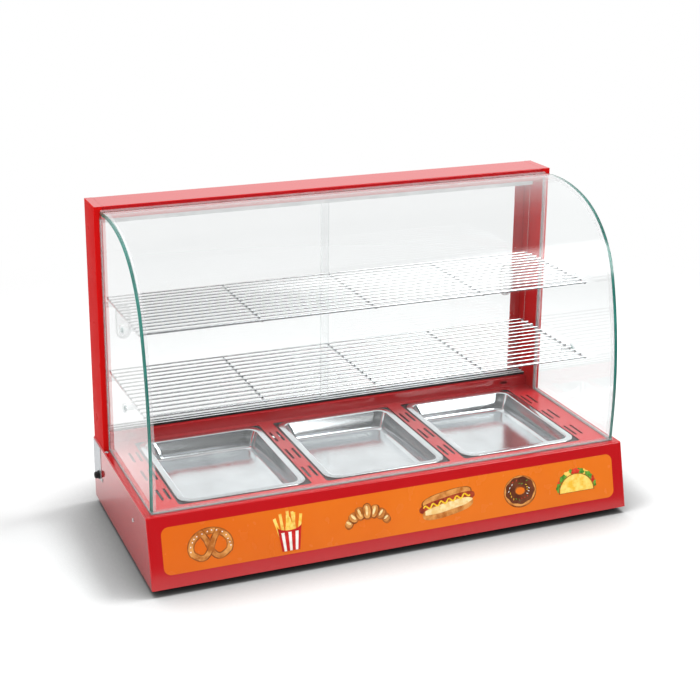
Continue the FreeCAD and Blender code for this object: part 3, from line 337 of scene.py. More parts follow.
@dataclass(frozen=True)
class GroundEdge:
    """The ground edge of a glass sheet, where its green shows."""

    name: str
    deep: Colour
    pale: Colour
    clear: float = 0.2

    def material(self) -> bpy.types.Material:
        """The edge's material."""
        def build(g: Graph) -> bpy.types.NodeSocket:
            colour = g.ramp(g.noise(14.0, 3.0), [(0.3, self.deep), (0.7, self.pale)])
            rough = g.spread(g.noise(300.0, 2.0), 0.12, 0.3)
            return g.add("ShaderNodeBsdfPrincipled", {
                "Base Color": colour, "Roughness": rough, "Transmission Weight": self.clear, "IOR": 1.5}).outputs[0]
        return shader(self.name, build)


@dataclass(frozen=True)
class ClearPlastic:
    """Milky clear plastic or silicone."""

    name: str
    colour: Colour
    clear: float
    rough: float

    def material(self) -> bpy.types.Material:
        """The plastic's material."""
        def build(g: Graph) -> bpy.types.NodeSocket:
            colour = g.ramp(g.noise(30.0, 3.0), [(0.3, shade(self.colour, 0.94)), (0.7, self.colour)])
            rough = g.spread(g.noise(90.0, 3.0), self.rough * 0.8, self.rough * 1.2)
            body = g.add("ShaderNodeBsdfPrincipled", {
                "Base Color": colour, "Roughness": rough, "Transmission Weight": self.clear, "IOR": 1.4})
            clear = g.add("ShaderNodeBsdfTransparent", {"Color": self.colour})
            lamp_ray = g.add("ShaderNodeLightPath").outputs["Is Shadow Ray"]
            return g.add("ShaderNodeMixShader", {
                0: lamp_ray, 1: body.outputs[0], 2: clear.outputs[0]}).outputs[0]
        return shader(self.name, build)


@dataclass(frozen=True)
class ClearStrip:
    """Thin clear silicone or plastic that shows only as a pale veil."""

    name: str
    colour: Colour
    veil: float
    rough: float = 0.3

    def material(self) -> bpy.types.Material:
        """The strip's material."""
        def build(g: Graph) -> bpy.types.NodeSocket:
            colour = g.ramp(g.noise(30.0, 3.0), [(0.3, shade(self.colour, 0.92)), (0.7, self.colour)])
            veil = g.spread(g.noise(55.0, 4.0), self.veil * 0.85, self.veil * 1.15)
            rough = g.spread(g.noise(90.0, 3.0), self.rough * 0.8, self.rough * 1.2)
            return g.add("ShaderNodeBsdfPrincipled", {
                "Base Color": colour, "Roughness": rough, "Alpha": veil}).outputs[0]
        return shader(self.name, build)


@dataclass(frozen=True)
class Ink:
    """Printed colour on the front film: two tones that blend in patches."""

    name: str
    deep: Colour
    pale: Colour
    patch: float = 90.0
    rough: float = 0.25

    def material(self) -> bpy.types.Material:
        """The ink's material."""
        def build(g: Graph) -> bpy.types.NodeSocket:
            colour = g.ramp(g.noise(self.patch, 5.0), [(0.36, self.deep), (0.62, self.pale)])
            rough = g.spread(g.noise(40.0, 2.0), self.rough * 0.85, self.rough * 1.15)
            return g.add("ShaderNodeBsdfPrincipled", {
                "Base Color": colour, "Roughness": rough, "Specular IOR Level": 0.25}).outputs[0]
        return shader(self.name, build)


class Look(Enum):
    """Every finish on the display case."""

    RED = Enamel("red_enamel", srgb(188, 14, 22), 0.12, 0.35, 0.4)
    FRAME_RED = Enamel("frame_enamel", srgb(212, 22, 22), 0.3, 0.0, 0.004)
    DECK_RED = Enamel("deck_enamel", srgb(200, 18, 26), 0.22, 0.2, 0.3)
    ZINC = Steel("zinc_coat", srgb(190, 192, 195), 0.4)
    DRAWN = Steel("drawn_pan_steel", srgb(234, 237, 239), 0.15, (1.0, 0.06, 1.0), 700.0, 0.03)
    # Chrome wire; its dark underside and light top are painted shade and painted highlight.
    CHROME = Wire("chromed_wire", srgb(250, 251, 252), srgb(110, 112, 116), 0.16)
    SCREW = Steel("bright_screw", srgb(205, 205, 205), 0.25)
    HEATER = Steel("heated_tube", srgb(120, 112, 105), 0.4)
    # Black for the pan ledges: painted shade for the dark gap round each pan's rim.
    LEDGE_SHADE_BLACK = Enamel("ledge_black_and_shade", srgb(14, 14, 15), 0.35, 0.1)
    BLACK = Moulding("black_plastic", srgb(20, 20, 21), 0.4)
    TRACK_BLACK = Moulding("black_track", srgb(16, 16, 17), 0.45)
    TRACK_GREY = Moulding("grey_track", srgb(240, 242, 243), 0.4)
    WHITE = Moulding("white_holder", srgb(228, 226, 220), 0.4)
    RUBBER = Moulding("foot_rubber", srgb(26, 26, 27), 0.7, 900.0, 0.3)
    AMBER = ClearPlastic("amber_lens", srgb(240, 150, 40), 0.4, 0.2)
    GLASS = Pane("clear_glass", srgb(253, 254, 254))
    EDGE = GroundEdge("glass_edge", srgb(8, 96, 84), srgb(40, 140, 126))
    PALE_EDGE = ClearStrip("door_edge", srgb(222, 236, 233), 0.25, 0.15)
    SEAL = ClearStrip("clear_seal", srgb(250, 246, 248), 0.2)
    PEG = ClearStrip("clear_peg", srgb(240, 244, 244), 0.3, 0.12)
    CLEAR_PULL = ClearStrip("clear_pull", srgb(236, 240, 240), 0.22, 0.15)
    LAMP = ClearPlastic("frosted_lamp", srgb(246, 246, 240), 0.3, 0.5)

    def material(self) -> bpy.types.Material:
        """The material of this finish."""
        return self.value.material()


def dress(look: Look, *nodes: str) -> None:
    """Give CAD nodes a finish.

    Args:
        look: The finish.
        nodes: Names of CAD nodes.
    """
    for name in nodes:
        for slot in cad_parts[name].material_slots:
            slot.material = look.material()
    LOG.info("dressed %s in %s", ", ".join(nodes), look.name.lower())


# --- meshes ------------------------------------------------------------------------------
def mesh_from(name: str, points: Iterable[Sequence[float]], faces: Iterable[Sequence[int]],
              slots: Sequence[int] | None = None) -> bpy.types.Mesh:
    """Make a mesh.

    Args:
        name: The mesh's name.
        points: Its corners.
        faces: Corner numbers of each face.
        slots: Material slot of each face.

    Returns:
        The mesh.
    """
    mesh = bpy.data.meshes.new(name)
    mesh.from_pydata([tuple(p) for p in points], [], [tuple(f) for f in faces])
    if slots is not None:
        mesh.polygons.foreach_set("material_index", list(slots))
    mesh.update()
    return mesh


def tidy_mesh(mesh: bpy.types.Mesh, merge: float = 1e-6, closed: bool = True) -> bpy.types.Mesh:
    """Merge doubles and point the faces outwards.

    Args:
        mesh: The mesh, changed in place.
        merge: Distance under which corners are one.
        closed: Whether the faces' directions are worked out again.

    Returns:
        The same mesh.
    """
    work = bmesh.new()
    work.from_mesh(mesh)
    bmesh.ops.remove_doubles(work, verts=work.verts, dist=merge)
    if closed:
        bmesh.ops.recalc_face_normals(work, faces=work.faces)
    work.to_mesh(mesh)
    work.free()
    return mesh


def smooth_by_angle(mesh: bpy.types.Mesh, degrees: float = 35.0) -> None:
    """Shade a mesh smooth, with sharp edges kept.

    Args:
        mesh: The mesh.
        degrees: Edges that turn more than this stay sharp.
    """
    work = bmesh.new()
    work.from_mesh(mesh)
    for face in work.faces:
        face.smooth = True
    for edge in work.edges:
        turn = edge.calc_face_angle(math.pi) if len(edge.link_faces) == 2 else math.pi
        edge.smooth = turn < math.radians(degrees)
    work.to_mesh(mesh)
    work.free()


def show(mesh: bpy.types.Mesh, name: str, looks: Sequence[Look | bpy.types.Material], body: str,
         replaces: Sequence[str] = (), angle: float = 35.0) -> bpy.types.Object:
    """Put a finished mesh in the scene as one piece of a body.

    Args:
        mesh: The mesh, with its place in its corners.
        name: The piece's name.
        looks: Finish of each material slot.
        body: The CAD body that it moves with.
        replaces: CAD nodes that it stands for.
        angle: Edges that turn more than this stay sharp.

    Returns:
        The piece.
    """
    smooth_by_angle(mesh, angle)
    numbers = [face.material_index for face in mesh.polygons]
    mesh.materials.clear()
    for look in looks:
        mesh.materials.append(look.material() if isinstance(look, Look) else look)
    mesh.polygons.foreach_set("material_index", numbers)
    piece = bpy.data.objects.new(name, mesh)
    bpy.context.scene.collection.objects.link(piece)
    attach(piece, body)
    if replaces:
        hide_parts(*replaces)
    LOG.info("made %s on %s, %d faces", name, body, len(mesh.polygons))
    return piece


def rings(name: str, outlines: Sequence[Sequence[Sequence[float]]], close_first: bool, close_last: bool) -> bpy.types.Mesh:
    """Skin a row of closed outlines that have the same number of corners.

    Args:
        name: The mesh's name.
        outlines: The outlines, each a list of 3-D points.
        close_first: Whether the first outline is filled.
        close_last: Whether the last outline is filled.

    Returns:
        The mesh.
    """
    count = len(outlines[0])
    points = [p for outline in outlines for p in outline]
    faces = []
    for row in range(len(outlines) - 1):
        for i in range(count):
            k = (i + 1) % count
            faces.append((row * count + i, row * count + k, (row + 1) * count + k, (row + 1) * count + i))
    if close_first:
        faces.append(tuple(range(count))[::-1])
    if close_last:
        faces.append(tuple((len(outlines) - 1) * count + i for i in range(count)))
    return mesh_from(name, points, faces)


def lathe(name: str, profile: Sequence[Point2], sides: int = 32) -> bpy.types.Mesh:
    """Turn a profile round the local Z axis.

    Args:
        name: The mesh's name.
        profile: Radius and height pairs. A radius of 0 closes the form.
        sides: Faces round the axis.

    Returns:
        A closed mesh.
    """
    outlines = []
    for radius, height in profile:
        radius = max(radius, 1e-7)
        outlines.append([(radius * math.cos(2 * math.pi * i / sides),
                          radius * math.sin(2 * math.pi * i / sides), height) for i in range(sides)])
    return tidy_mesh(rings(name, outlines, False, False), 1e-6)


def rounded_outline(width: float, length: float, radius: float, steps: int) -> list[Point2]:
    """Corners of a rounded rectangle about the origin.

    Args:
        width: Size along X.
        length: Size along Y.
        radius: Corner radius.
        steps: Points per corner, less one.

    Returns:
        The outline's points, anticlockwise.
    """
    outline = []
    for quarter, (sx, sy) in enumerate(((1, 1), (-1, 1), (-1, -1), (1, -1))):
        for i in range(steps + 1):
            turn = math.pi / 2 * (quarter + i / steps)
            outline.append((sx * (width / 2 - radius) + radius * math.cos(turn),
                            sy * (length / 2 - radius) + radius * math.sin(turn)))
    return outline


def copy_of(node: str, name: str) -> bpy.types.Mesh:
    """A merged copy of a CAD node's mesh, to be dressed or refined.

    Args:
        node: The CAD node.
        name: The new mesh's name.

    Returns:
        The copy, with its doubles merged.
    """
    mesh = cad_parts[node].data.copy()
    mesh.name = name
    for attribute in [a.name for a in mesh.attributes if a.name.startswith("custom_normal")]:
        mesh.attributes.remove(mesh.attributes[attribute])
    return tidy_mesh(mesh, 1e-5, closed=False)


def joined(name: str, meshes: Sequence[bpy.types.Mesh]) -> bpy.types.Mesh:
    """Put several meshes in one, keeping their material slots' numbers.

    Args:
        name: The new mesh's name.
        meshes: The meshes.

    Returns:
        The joined mesh.
    """
    work = bmesh.new()
    for mesh in meshes:
        work.from_mesh(mesh)
    result = bpy.data.meshes.new(name)
    work.to_mesh(result)
    work.free()
    return result


# --- geometry node trees -----------------------------------------------------------------
class GeometryTree:
    """A geometry node tree with named inputs, whose result is made a plain mesh."""

    def __init__(self, name: str, sockets: Sequence[tuple[str, str]]) -> None:
        """Start the tree.

        Args:
            name: The tree's name.
            sockets: Name and socket type of each input.
        """
        self.tree = bpy.data.node_groups.new(name, "GeometryNodeTree")
        face = self.tree.interface
        face.new_socket(name="Geometry", in_out="OUTPUT", socket_type="NodeSocketGeometry")
        made = [face.new_socket(name=label, in_out="INPUT", socket_type=kind) for label, kind in sockets]
        self.identifiers = {socket.name: socket.identifier for socket in made}
        self.graph = Graph(self.tree)
        self.inputs = self.graph.add("NodeGroupInput").outputs

    def end(self, geometry: bpy.types.NodeSocket) -> None:
        """Realize the instances, set the material and finish the tree.

        Args:
            geometry: The socket with the geometry so far.
        """
        real = self.graph.add("GeometryNodeRealizeInstances", {"Geometry": geometry})
        look = self.graph.add("GeometryNodeSetMaterial", {
            "Geometry": real.outputs[0], "Material": self.inputs["Material"]})
        self.graph.add("NodeGroupOutput", {"Geometry": look.outputs[0]})

    def mesh(self, name: str, values: dict[str, object], start: bpy.types.Mesh | None = None) -> bpy.types.Mesh:
        """Run the tree.

        Args:
            name: The name of the mesh that comes out.
            values: Value of each named input.
            start: The mesh that goes in, if the tree reads one.

        Returns:
            A plain mesh.
        """
        carrier = bpy.data.objects.new(name, start or bpy.data.meshes.new(name))
        bpy.context.scene.collection.objects.link(carrier)
        modifier = carrier.modifiers.new("build", "NODES")
        modifier.node_group = self.tree
        for label, value in values.items():
            modifier[self.identifiers[label]] = value
        bpy.context.view_layer.update()
        evaluated = carrier.evaluated_get(bpy.context.evaluated_depsgraph_get())
        result = bpy.data.meshes.new_from_object(evaluated)
        carrier.modifiers.remove(modifier)
        bpy.data.objects.remove(carrier)
        result.name = name
        return result


class WireRow(GeometryTree):
    """Round wires side by side: one straight wire on each point of a line."""

    def __init__(self) -> None:
        """Build the tree."""
        super().__init__("wire_row", [
            ("Count", "NodeSocketInt"), ("Start", "NodeSocketVector"), ("Step", "NodeSocketVector"),
            ("Run", "NodeSocketVector"), ("Radius", "NodeSocketFloat"), ("Sides", "NodeSocketInt"),
            ("Material", "NodeSocketMaterial")])
        g = self.graph
        line = g.add("GeometryNodeMeshLine", {
            "Count": self.inputs["Count"], "Start Location": self.inputs["Start"],
            "Offset": self.inputs["Step"]}, mode="OFFSET")
        path = g.add("GeometryNodeCurvePrimitiveLine", {"End": self.inputs["Run"]})
        section = g.add("GeometryNodeCurvePrimitiveCircle", {
            "Resolution": self.inputs["Sides"], "Radius": self.inputs["Radius"]})
        wire = g.add("GeometryNodeCurveToMesh", {
            "Curve": path.outputs["Curve"], "Profile Curve": section.outputs["Curve"], "Fill Caps": True})
        placed = g.add("GeometryNodeInstanceOnPoints", {
            "Points": line.outputs["Mesh"], "Instance": wire.outputs["Mesh"]})
        self.end(placed.outputs["Instances"])

    def row(self, name: str, count: int, start: Sequence[float], step: Sequence[float], run: Sequence[float],
            radius: float, look: Look, sides: int = 12) -> bpy.types.Mesh:
        """Make one row.

        Args:
            name: The mesh's name.
            count: Number of wires.
            start: Start of the first wire.
            step: From one wire to the next.
            run: From a wire's start to its end.
            radius: The wire's radius.
            look: Its finish.
            sides: Faces round a wire.

        Returns:
            The row as one mesh.
        """
        return self.mesh(name, {
            "Count": count, "Start": tuple(start), "Step": tuple(step), "Run": tuple(run),
            "Radius": radius, "Sides": sides, "Material": look.material()})


class PlacedParts(GeometryTree):
    """One part on each point, turned so that its Z axis follows the point's own direction."""

    def __init__(self) -> None:
        """Build the tree."""
        super().__init__("placed_parts", [
            ("Points", "NodeSocketGeometry"), ("Part", "NodeSocketObject"), ("Material", "NodeSocketMaterial")])
        g = self.graph
        part = g.add("GeometryNodeObjectInfo", {"Object": self.inputs["Part"]})
        way = g.add("GeometryNodeInputNamedAttribute", {"Name": "way"}, data_type="FLOAT_VECTOR")
        turn = g.add("FunctionNodeAlignRotationToVector", {"Vector": way.outputs["Attribute"]}, axis="Z")
        placed = g.add("GeometryNodeInstanceOnPoints", {
            "Points": self.inputs["Points"], "Instance": part.outputs["Geometry"],
            "Rotation": turn.outputs["Rotation"]})
        self.end(placed.outputs["Instances"])

    def place(self, name: str, part: bpy.types.Mesh, spots: Sequence[tuple[Sequence[float], Sequence[float]]],
              look: Look) -> bpy.types.Mesh:
        """Put the part on every spot.

        Args:
            name: The name of the mesh that comes out.
            part: The part, standing on the origin along +Z.
            spots: Each spot's place and direction.
            look: The finish.

        Returns:
            All of them as one mesh.
        """
        points = mesh_from(name + "_spots", [place for place, way in spots], [])
        ways = points.attributes.new("way", "FLOAT_VECTOR", "POINT")
        for item, (place, way) in zip(ways.data, spots):
            item.vector = way
        template = bpy.data.objects.new(name + "_part", part)
        bpy.context.scene.collection.objects.link(template)
        result = self.mesh(name, {"Part": template, "Material": look.material()}, points)
        bpy.data.objects.remove(template)
        return result


# --- sub-assemblies ----------------------------------------------------------------------
@dataclass
class Base:
    """The enamelled base: shell, deck, rear panel, feet and screws."""

    parts: PlacedParts
    foot_radius: float = 0.016
    foot_hollow: float = 0.0055
    head_radius: float = 0.0038
    head_height: float = 0.0018
    plate_width: float = 0.055

    def dress(self) -> None:
        """Give the base's sheets their finish and make its feet and screws."""
        dress(Look.RED, "base_shell")
        dress(Look.FRAME_RED, "rear_panel")
        dress(Look.DECK_RED, "deck_plate")
        dress(Look.ZINC, "bottom_plate", "heat_shield", "element_brackets")
        dress(Look.HEATER, "heating_element_left", "heating_element_centre", "heating_element_right")
        dress(Look.SCREW, "foot_screws")
        self.make_feet()
        self.make_screws()
        self.make_plate()

    def make_plate(self) -> None:
        """The bare metal plate round the cord's entry, on the left side."""
        lo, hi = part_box("base_shell")
        y0, y1 = hi.y - self.plate_width, hi.y - 0.002
        z0, z1 = lo.z + 0.050, hi.z - 0.003
        r = 0.002
        corners = [(y0 + r, z0), (y1 - r, z0), (y1, z0 + r), (y1, z1 - r), (y1 - r, z1), (y0 + r, z1), (y0, z1 - r),
                   (y0, z0 + r)]
        layers = [[(lo.x - out, y, z) for y, z in corners] for out in (0.0, 0.0006)]
        mesh = tidy_mesh(rings("cord_plate", layers, True, True), 1e-7)
        show(mesh, "cord_plate", [Look.ZINC], "housing", ())

    def make_feet(self) -> None:
        """Four turned rubber feet."""
        lo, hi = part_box("feet")
        r = self.foot_radius
        h = hi.z - lo.z
        profile = [(self.foot_hollow, 0.0005), (self.foot_hollow + 0.0005, 0.0), (r - 0.003, 0.0),
                   (r - 0.0018, 0.0004), (r - 0.0008, 0.0014), (r - 0.0003, 0.003), (r, h - 0.001),
                   (r - 0.0004, h), (0.0, h), (0.0, 0.006), (self.foot_hollow, 0.006), (self.foot_hollow, 0.0005)]
        part = lathe("foot_part", profile, 40)
        spots = [((x, y, 0.0), (0, 0, 1)) for x in (lo.x + r, hi.x - r) for y in (lo.y + r, hi.y - r)]
        mesh = self.parts.place("rubber_feet", part, spots, Look.RUBBER)
        show(mesh, "rubber_feet", [Look.RUBBER], "housing", ["feet"])

    def screw_part(self) -> bpy.types.Mesh:
        """A domed head with a cross recess, standing on the origin."""
        r = self.head_radius
        h = self.head_height
        dome = [(0.0, h - 0.0007), (0.0009, h - 0.0007), (0.0011, h), (r * 0.55, h * 0.96), (r * 0.82, h * 0.78),
                (r * 0.96, h * 0.45), (r, h * 0.2), (r, 0.0), (0.0015, 0.0), (0.0015, -0.006), (0.0, -0.007)]
        mesh = lathe("screw_part", dome, 24)
        work = bmesh.new()
        work.from_mesh(mesh)
        for vert in work.verts:
            reach = math.hypot(vert.co.x, vert.co.y)
            if vert.co.z > h * 0.9 and 0.0008 < reach < r * 0.6:
                turn = math.atan2(vert.co.y, vert.co.x)
                if abs(math.sin(2 * turn)) < 0.3:
                    vert.co.z -= 0.0007 if reach > 0.0012 else 0.0
        work.to_mesh(mesh)
        work.free()
        return mesh

    def make_screws(self) -> None:
        """The screws in the base's sides and back."""
        lo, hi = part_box("base_shell")
        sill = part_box("deck_plate")[1].z
        spots = []
        for side in (-1, 1):
            face = hi.x if side > 0 else lo.x
            face -= side * 0.0001
            for back, up in ((0.060, 0.054), (0.285, 0.077)):
                spots.append(((face, hi.y - back, lo.z + up), (side, 0, 0)))
            for up in (0.020, 0.098):
                spots.append(((side * 0.4425, hi.y, lo.z + up), (0, 1, 0)))
            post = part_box("column_left")[0]
            spots.append(((side * 0.4445, post.y - 0.008, hi.z - 0.0001), (0, 0, 1)))
        for x in (-0.3, 0.0, 0.3):
            spots.append(((x, hi.y, sill - 0.0075), (0, 1, 0)))
        mesh = self.parts.place("case_screws", self.screw_part(), spots, Look.SCREW)
        show(mesh, "case_screws", [Look.SCREW], "housing", ["panel_screws"])


@dataclass
class Pan:
    """One drawn steel pan, as rings from its turned-down lip to its floor."""

    node: str
    body: str
    rim: float = 0.012
    lip: float = 0.004
    corner: float = 0.026
    depth: float = 0.032
    draft: float = 0.010
    turn: float = 0.008
    wall: float = 0.0009
    steps: int = 10

    def profile(self) -> list[tuple[float, float, float]]:
        """Rows of the pan's upper skin.

        Returns:
            Inset from the rim's outline, depth below the rim's top, and corner radius.
        """
        rows = [(0.0, self.lip, self.corner)]
        edge = 0.0012
        for i in range(5):
            a = math.pi / 2 * i / 4
            rows.append((edge * (1 - math.cos(a)), edge * (1 - math.sin(a)), self.corner))
        mouth = self.corner - self.rim + 0.004
        shoulder = 0.0022
        rows.append((self.rim - 0.0046, 0.0, self.corner - 0.004))
        for i in range(6):
            a = math.pi / 2 * i / 5
            rows.append((self.rim - shoulder + shoulder * math.sin(a), shoulder * (1 - math.cos(a)), mouth))
        low = self.depth - self.turn
        rows.append((self.rim + self.draft * 0.5, low * 0.5, mouth))
        for i in range(8):
            a = math.pi / 2 * i / 7
            inset = self.rim + self.draft * 0.92 + self.turn * (1 - math.cos(a))
            rows.append((inset, low + self.turn * math.sin(a), mouth))
        floor_inset = self.rim + self.draft * 0.92 + self.turn
        rows.append((floor_inset + 0.02, self.depth - 0.0002, mouth * 0.8))
        rows.append((floor_inset + 0.05, self.depth - 0.0006, mouth * 0.6))
        return rows

    def make(self) -> None:
        """Build the pan and let it stand for its CAD node."""
        lo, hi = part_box(self.node)
        centre = (lo + hi) / 2
        width = hi.x - lo.x
        length = hi.y - lo.y
        outlines = []
        for inset, down, corner in self.profile():
            ring = rounded_outline(width - 2 * inset, length - 2 * inset, corner, self.steps)
            outlines.append([(centre.x + x, centre.y + y, hi.z - down) for x, y in ring])
        mesh = rings(self.node + "_skin", outlines, False, True)
        carrier = bpy.data.objects.new(self.node + "_carrier", mesh)
        bpy.context.scene.collection.objects.link(carrier)
        thick = carrier.modifiers.new("wall", "SOLIDIFY")
        thick.thickness = self.wall
        thick.offset = -1.0
        evaluated = carrier.evaluated_get(bpy.context.evaluated_depsgraph_get())
        solid = bpy.data.meshes.new_from_object(evaluated)
        bpy.data.objects.remove(carrier)
        show(solid, self.node + "_drawn", [Look.DRAWN], self.body, [self.node], 60.0)


@dataclass
class FoodWells:
    """The three lift-out pans and the ledges that carry them; the ledges' black stands in for the shade in the gap
    round each pan's rim.
    """

    def dress(self) -> None:
        """Make the pans and dress the ledges."""
        for side in ("left", "centre", "right"):
            Pan("pan_" + side, side + "_pan").make()
            # Painted shade: the ledges are real, and are dressed black so the gap round each rim reads dark.
            dress(Look.LEDGE_SHADE_BLACK, "pan_ledge_" + side)


@dataclass
class GlassCurve:
    """Side profile of the bent glass: a straight foot and three arcs that meet smoothly."""

    foot: Point2
    end: Point2
    lean: float = 3.0
    turns: tuple[float, float, float] = (19.0, 56.0, 27.5)
    straight: float = 0.050
    shoulder: float = 0.180
    steps: int = 28

    def radii(self) -> tuple[list[float], list[float]]:
        """Solve the lower and crown radii so that the curve ends where it should.

        Returns:
            The three radii, and the heading at the start of each arc and at the end.
        """
        headings = [math.radians(90 + self.lean)]
        for turn in self.turns:
            headings.append(headings[-1] - math.radians(turn))
        h0, h1, h2, h3 = headings
        dy = self.end[0] - self.foot[0] - self.straight * math.cos(h0)
        dz = self.end[1] - self.foot[1] - self.straight * math.sin(h0)
        dy -= self.shoulder * (math.sin(h1) - math.sin(h2))
        dz -= self.shoulder * (math.cos(h2) - math.cos(h1))
        a, b = math.sin(h0) - math.sin(h1), math.sin(h2) - math.sin(h3)
        c, d = math.cos(h1) - math.cos(h0), math.cos(h3) - math.cos(h2)
        scale = a * d - b * c
        return [(dy * d - b * dz) / scale, self.shoulder, (a * dz - c * dy) / scale], headings

    def points(self, inset: float, cut: float) -> list[Point2]:
        """The profile at an inset from the outer face.

        Args:
            inset: Distance in from the outer face.
            cut: How much of the foot's run is cut off at the bottom.

        Returns:
            (y, z) points from the foot to the beam.
        """
        radii, headings = self.radii()
        h = headings[0]
        y = self.foot[0] + inset * math.sin(h)
        z = self.foot[1] - inset * math.cos(h)
        result = [(y + cut * math.cos(h), z + cut * math.sin(h))]
        y += self.straight * math.cos(h)
        z += self.straight * math.sin(h)
        result.append((y, z))
        for radius, start, finish in zip(radii, headings, headings[1:]):
            radius -= inset
            cy = y + math.sin(start) * radius
            cz = z - math.cos(start) * radius
            for i in range(1, self.steps + 1):
                h = start + (finish - start) * i / self.steps
                result.append((cy - math.sin(h) * radius, cz + math.cos(h) * radius))
            y, z = result[-1]
        return result


@dataclass
class Glazing:
    """The bent front glass, the flat side glasses, the sliding doors and every seal."""

    thickness: float = 0.005
    base_setback: float = 0.028
    rim: float = 0.011
    seal_floor: float = 0.001
    glass_drop: float = 0.0095

    def curve(self) -> GlassCurve:
        """The profile of the front glass, from the CAD boxes round it."""
        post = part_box("column_left")[0]
        foot_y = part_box("base_shell")[0].y + self.base_setback + self.rim
        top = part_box("top_beam")[1].z - self.glass_drop
        return GlassCurve((foot_y, post.z), (post.y - 0.0003, top))

    def make_front(self) -> None:
        """Bend the front glass, with its ground edges in their own finish."""
        curve = self.curve()
        outer = curve.points(0.0, self.seal_floor)
        inner = curve.points(self.thickness, self.seal_floor)
        lo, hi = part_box("front_glass")
        half_width = 0.437
        x0, x1 = -half_width, half_width
        chamfer = 0.0005
        count = len(outer)

        def eased(side: Sequence[Point2], other: Sequence[Point2], x: float) -> list[tuple[float, float, float]]:
            """One face's line at an end, drawn in towards the other face."""
            share = chamfer / self.thickness
            return [(x, y + (oy - y) * share, z + (oz - z) * share) for (y, z), (oy, oz) in zip(side, other)]

        columns = [
            [(x0 + chamfer, y, z) for y, z in outer], [(x1 - chamfer, y, z) for y, z in outer],
            eased(outer, inner, x1), eased(inner, outer, x1),
            [(x1 - chamfer, y, z) for y, z in inner], [(x0 + chamfer, y, z) for y, z in inner],
            eased(inner, outer, x0), eased(outer, inner, x0)]
        points = [p for column in columns for p in column]
        faces, slots = [], []
        for c in range(len(columns)):
            d = (c + 1) % len(columns)
            for i in range(count - 1):
                faces.append((c * count + i, d * count + i, d * count + i + 1, c * count + i + 1))
                slots.append(0 if c in (0, 4) else 1)
        for i in (0, count - 1):
            ring = [c * count + i for c in range(len(columns))]
            faces.append(ring)
            slots.append(1)
        mesh = tidy_mesh(mesh_from("bent_front_glass", points, faces, slots))
        LOG.info("front glass from z %.3f to %.3f, CAD %.3f to %.3f", points[0][2], outer[-1][1], lo.z, hi.z)
        show(mesh, "bent_front_glass", [Look.GLASS, Look.EDGE], "housing", ["front_glass"], 30.0)

    def make_sheet(self, node: str, body: str, axis: int, edge: Look) -> None:
        """Split a flat sheet's faces from its ground edges.

        Args:
            node: The CAD node.
            body: The body that it moves with.
            axis: 0 or 1, the axis that the sheet's faces look along.
            edge: Finish of the ground edges.
        """
        mesh = copy_of(node, node + "_sheet")
        for face in mesh.polygons:
            face.material_index = 0 if abs(face.normal[axis]) > 0.9 else 1
        show(mesh, node + "_sheet", [Look.GLASS, edge], body, [node], 30.0)

    def dress(self) -> None:
        """Make every sheet of glass and dress the seals."""
        self.make_front()
        for side in ("left", "right"):
            self.make_sheet("side_glass_" + side, "housing", 0, Look.EDGE)
            self.make_sheet("door_" + side, side + "_door", 1, Look.PALE_EDGE)
            dress(Look.SEAL, "side_seal_" + side, "post_seal_" + side, "corner_seal_" + side)
            dress(Look.CLEAR_PULL, "door_pull_" + side)
        dress(Look.SEAL, "front_seal", "top_seal")


@dataclass
class RearFrame:
    """Columns, top beam, door tracks and the lamp inside the beam."""

    def dress(self) -> None:
        """Give the frame its finishes."""
        for side in ("left", "right"):
            post = copy_of("column_" + side, "post_" + side)
            for face in post.polygons:
                face.material_index = 1 if face.normal.z > 0.9 else 0
            show(post, "post_" + side, [Look.FRAME_RED, Look.RED], "housing", ["column_" + side], 30.0)
        dress(Look.RED, "top_beam")
        track = copy_of("track_bottom", "rib_track")
        for face in track.polygons:
            face.material_index = 1 if face.normal.z > 0.9 else 0
        show(track, "rib_track", [Look.TRACK_BLACK, Look.TRACK_GREY], "housing", ["track_bottom"], 30.0)
        dress(Look.TRACK_GREY, "track_top")
        dress(Look.LAMP, "lamp_tube", "lamp_lens")
        dress(Look.WHITE, "lamp_holders")


@dataclass
class Rack:
    """One welded wire rack."""

    node: str
    body: str
    height: float
    back: float
    depth: float
    width: float = 0.842
    wires: int = 14
    crosses: int = 5
    wire_radius: float = 0.0015
    cross_radius: float = 0.0020
    front_radius: float = 0.0025
    weld: float = 0.0003

    def make(self, tree: WireRow) -> None:
        """Lay the long wires on the cross wires.

        Args:
            tree: The geometry tree that makes a row of wires.
        """
        half = self.width / 2
        pitch = self.depth / (self.wires - 1)
        front = self.back - self.depth
        first = tree.row(self.node + "_front", 1, (-half, front, self.height + self.wire_radius - self.front_radius),
                         (0, 0, 0), (self.width, 0, 0), self.front_radius, Look.CHROME, 16)
        rest = tree.row(self.node + "_long", self.wires - 1, (-half, front + pitch, self.height), (0, pitch, 0),
                        (self.width, 0, 0), self.wire_radius, Look.CHROME)
        low = self.height - self.wire_radius - self.cross_radius + self.weld
        step = (self.width - 2 * self.cross_radius) / (self.crosses - 1)
        crosses = tree.row(self.node + "_cross", self.crosses, (-half + self.cross_radius, front, low),
                           (step, 0, 0), (0, self.depth, 0), self.cross_radius, Look.CHROME)
        mesh = joined(self.node + "_wires", [first, rest, crosses])
        show(mesh, self.node + "_wires", [Look.CHROME], self.body, [self.node], 50.0)


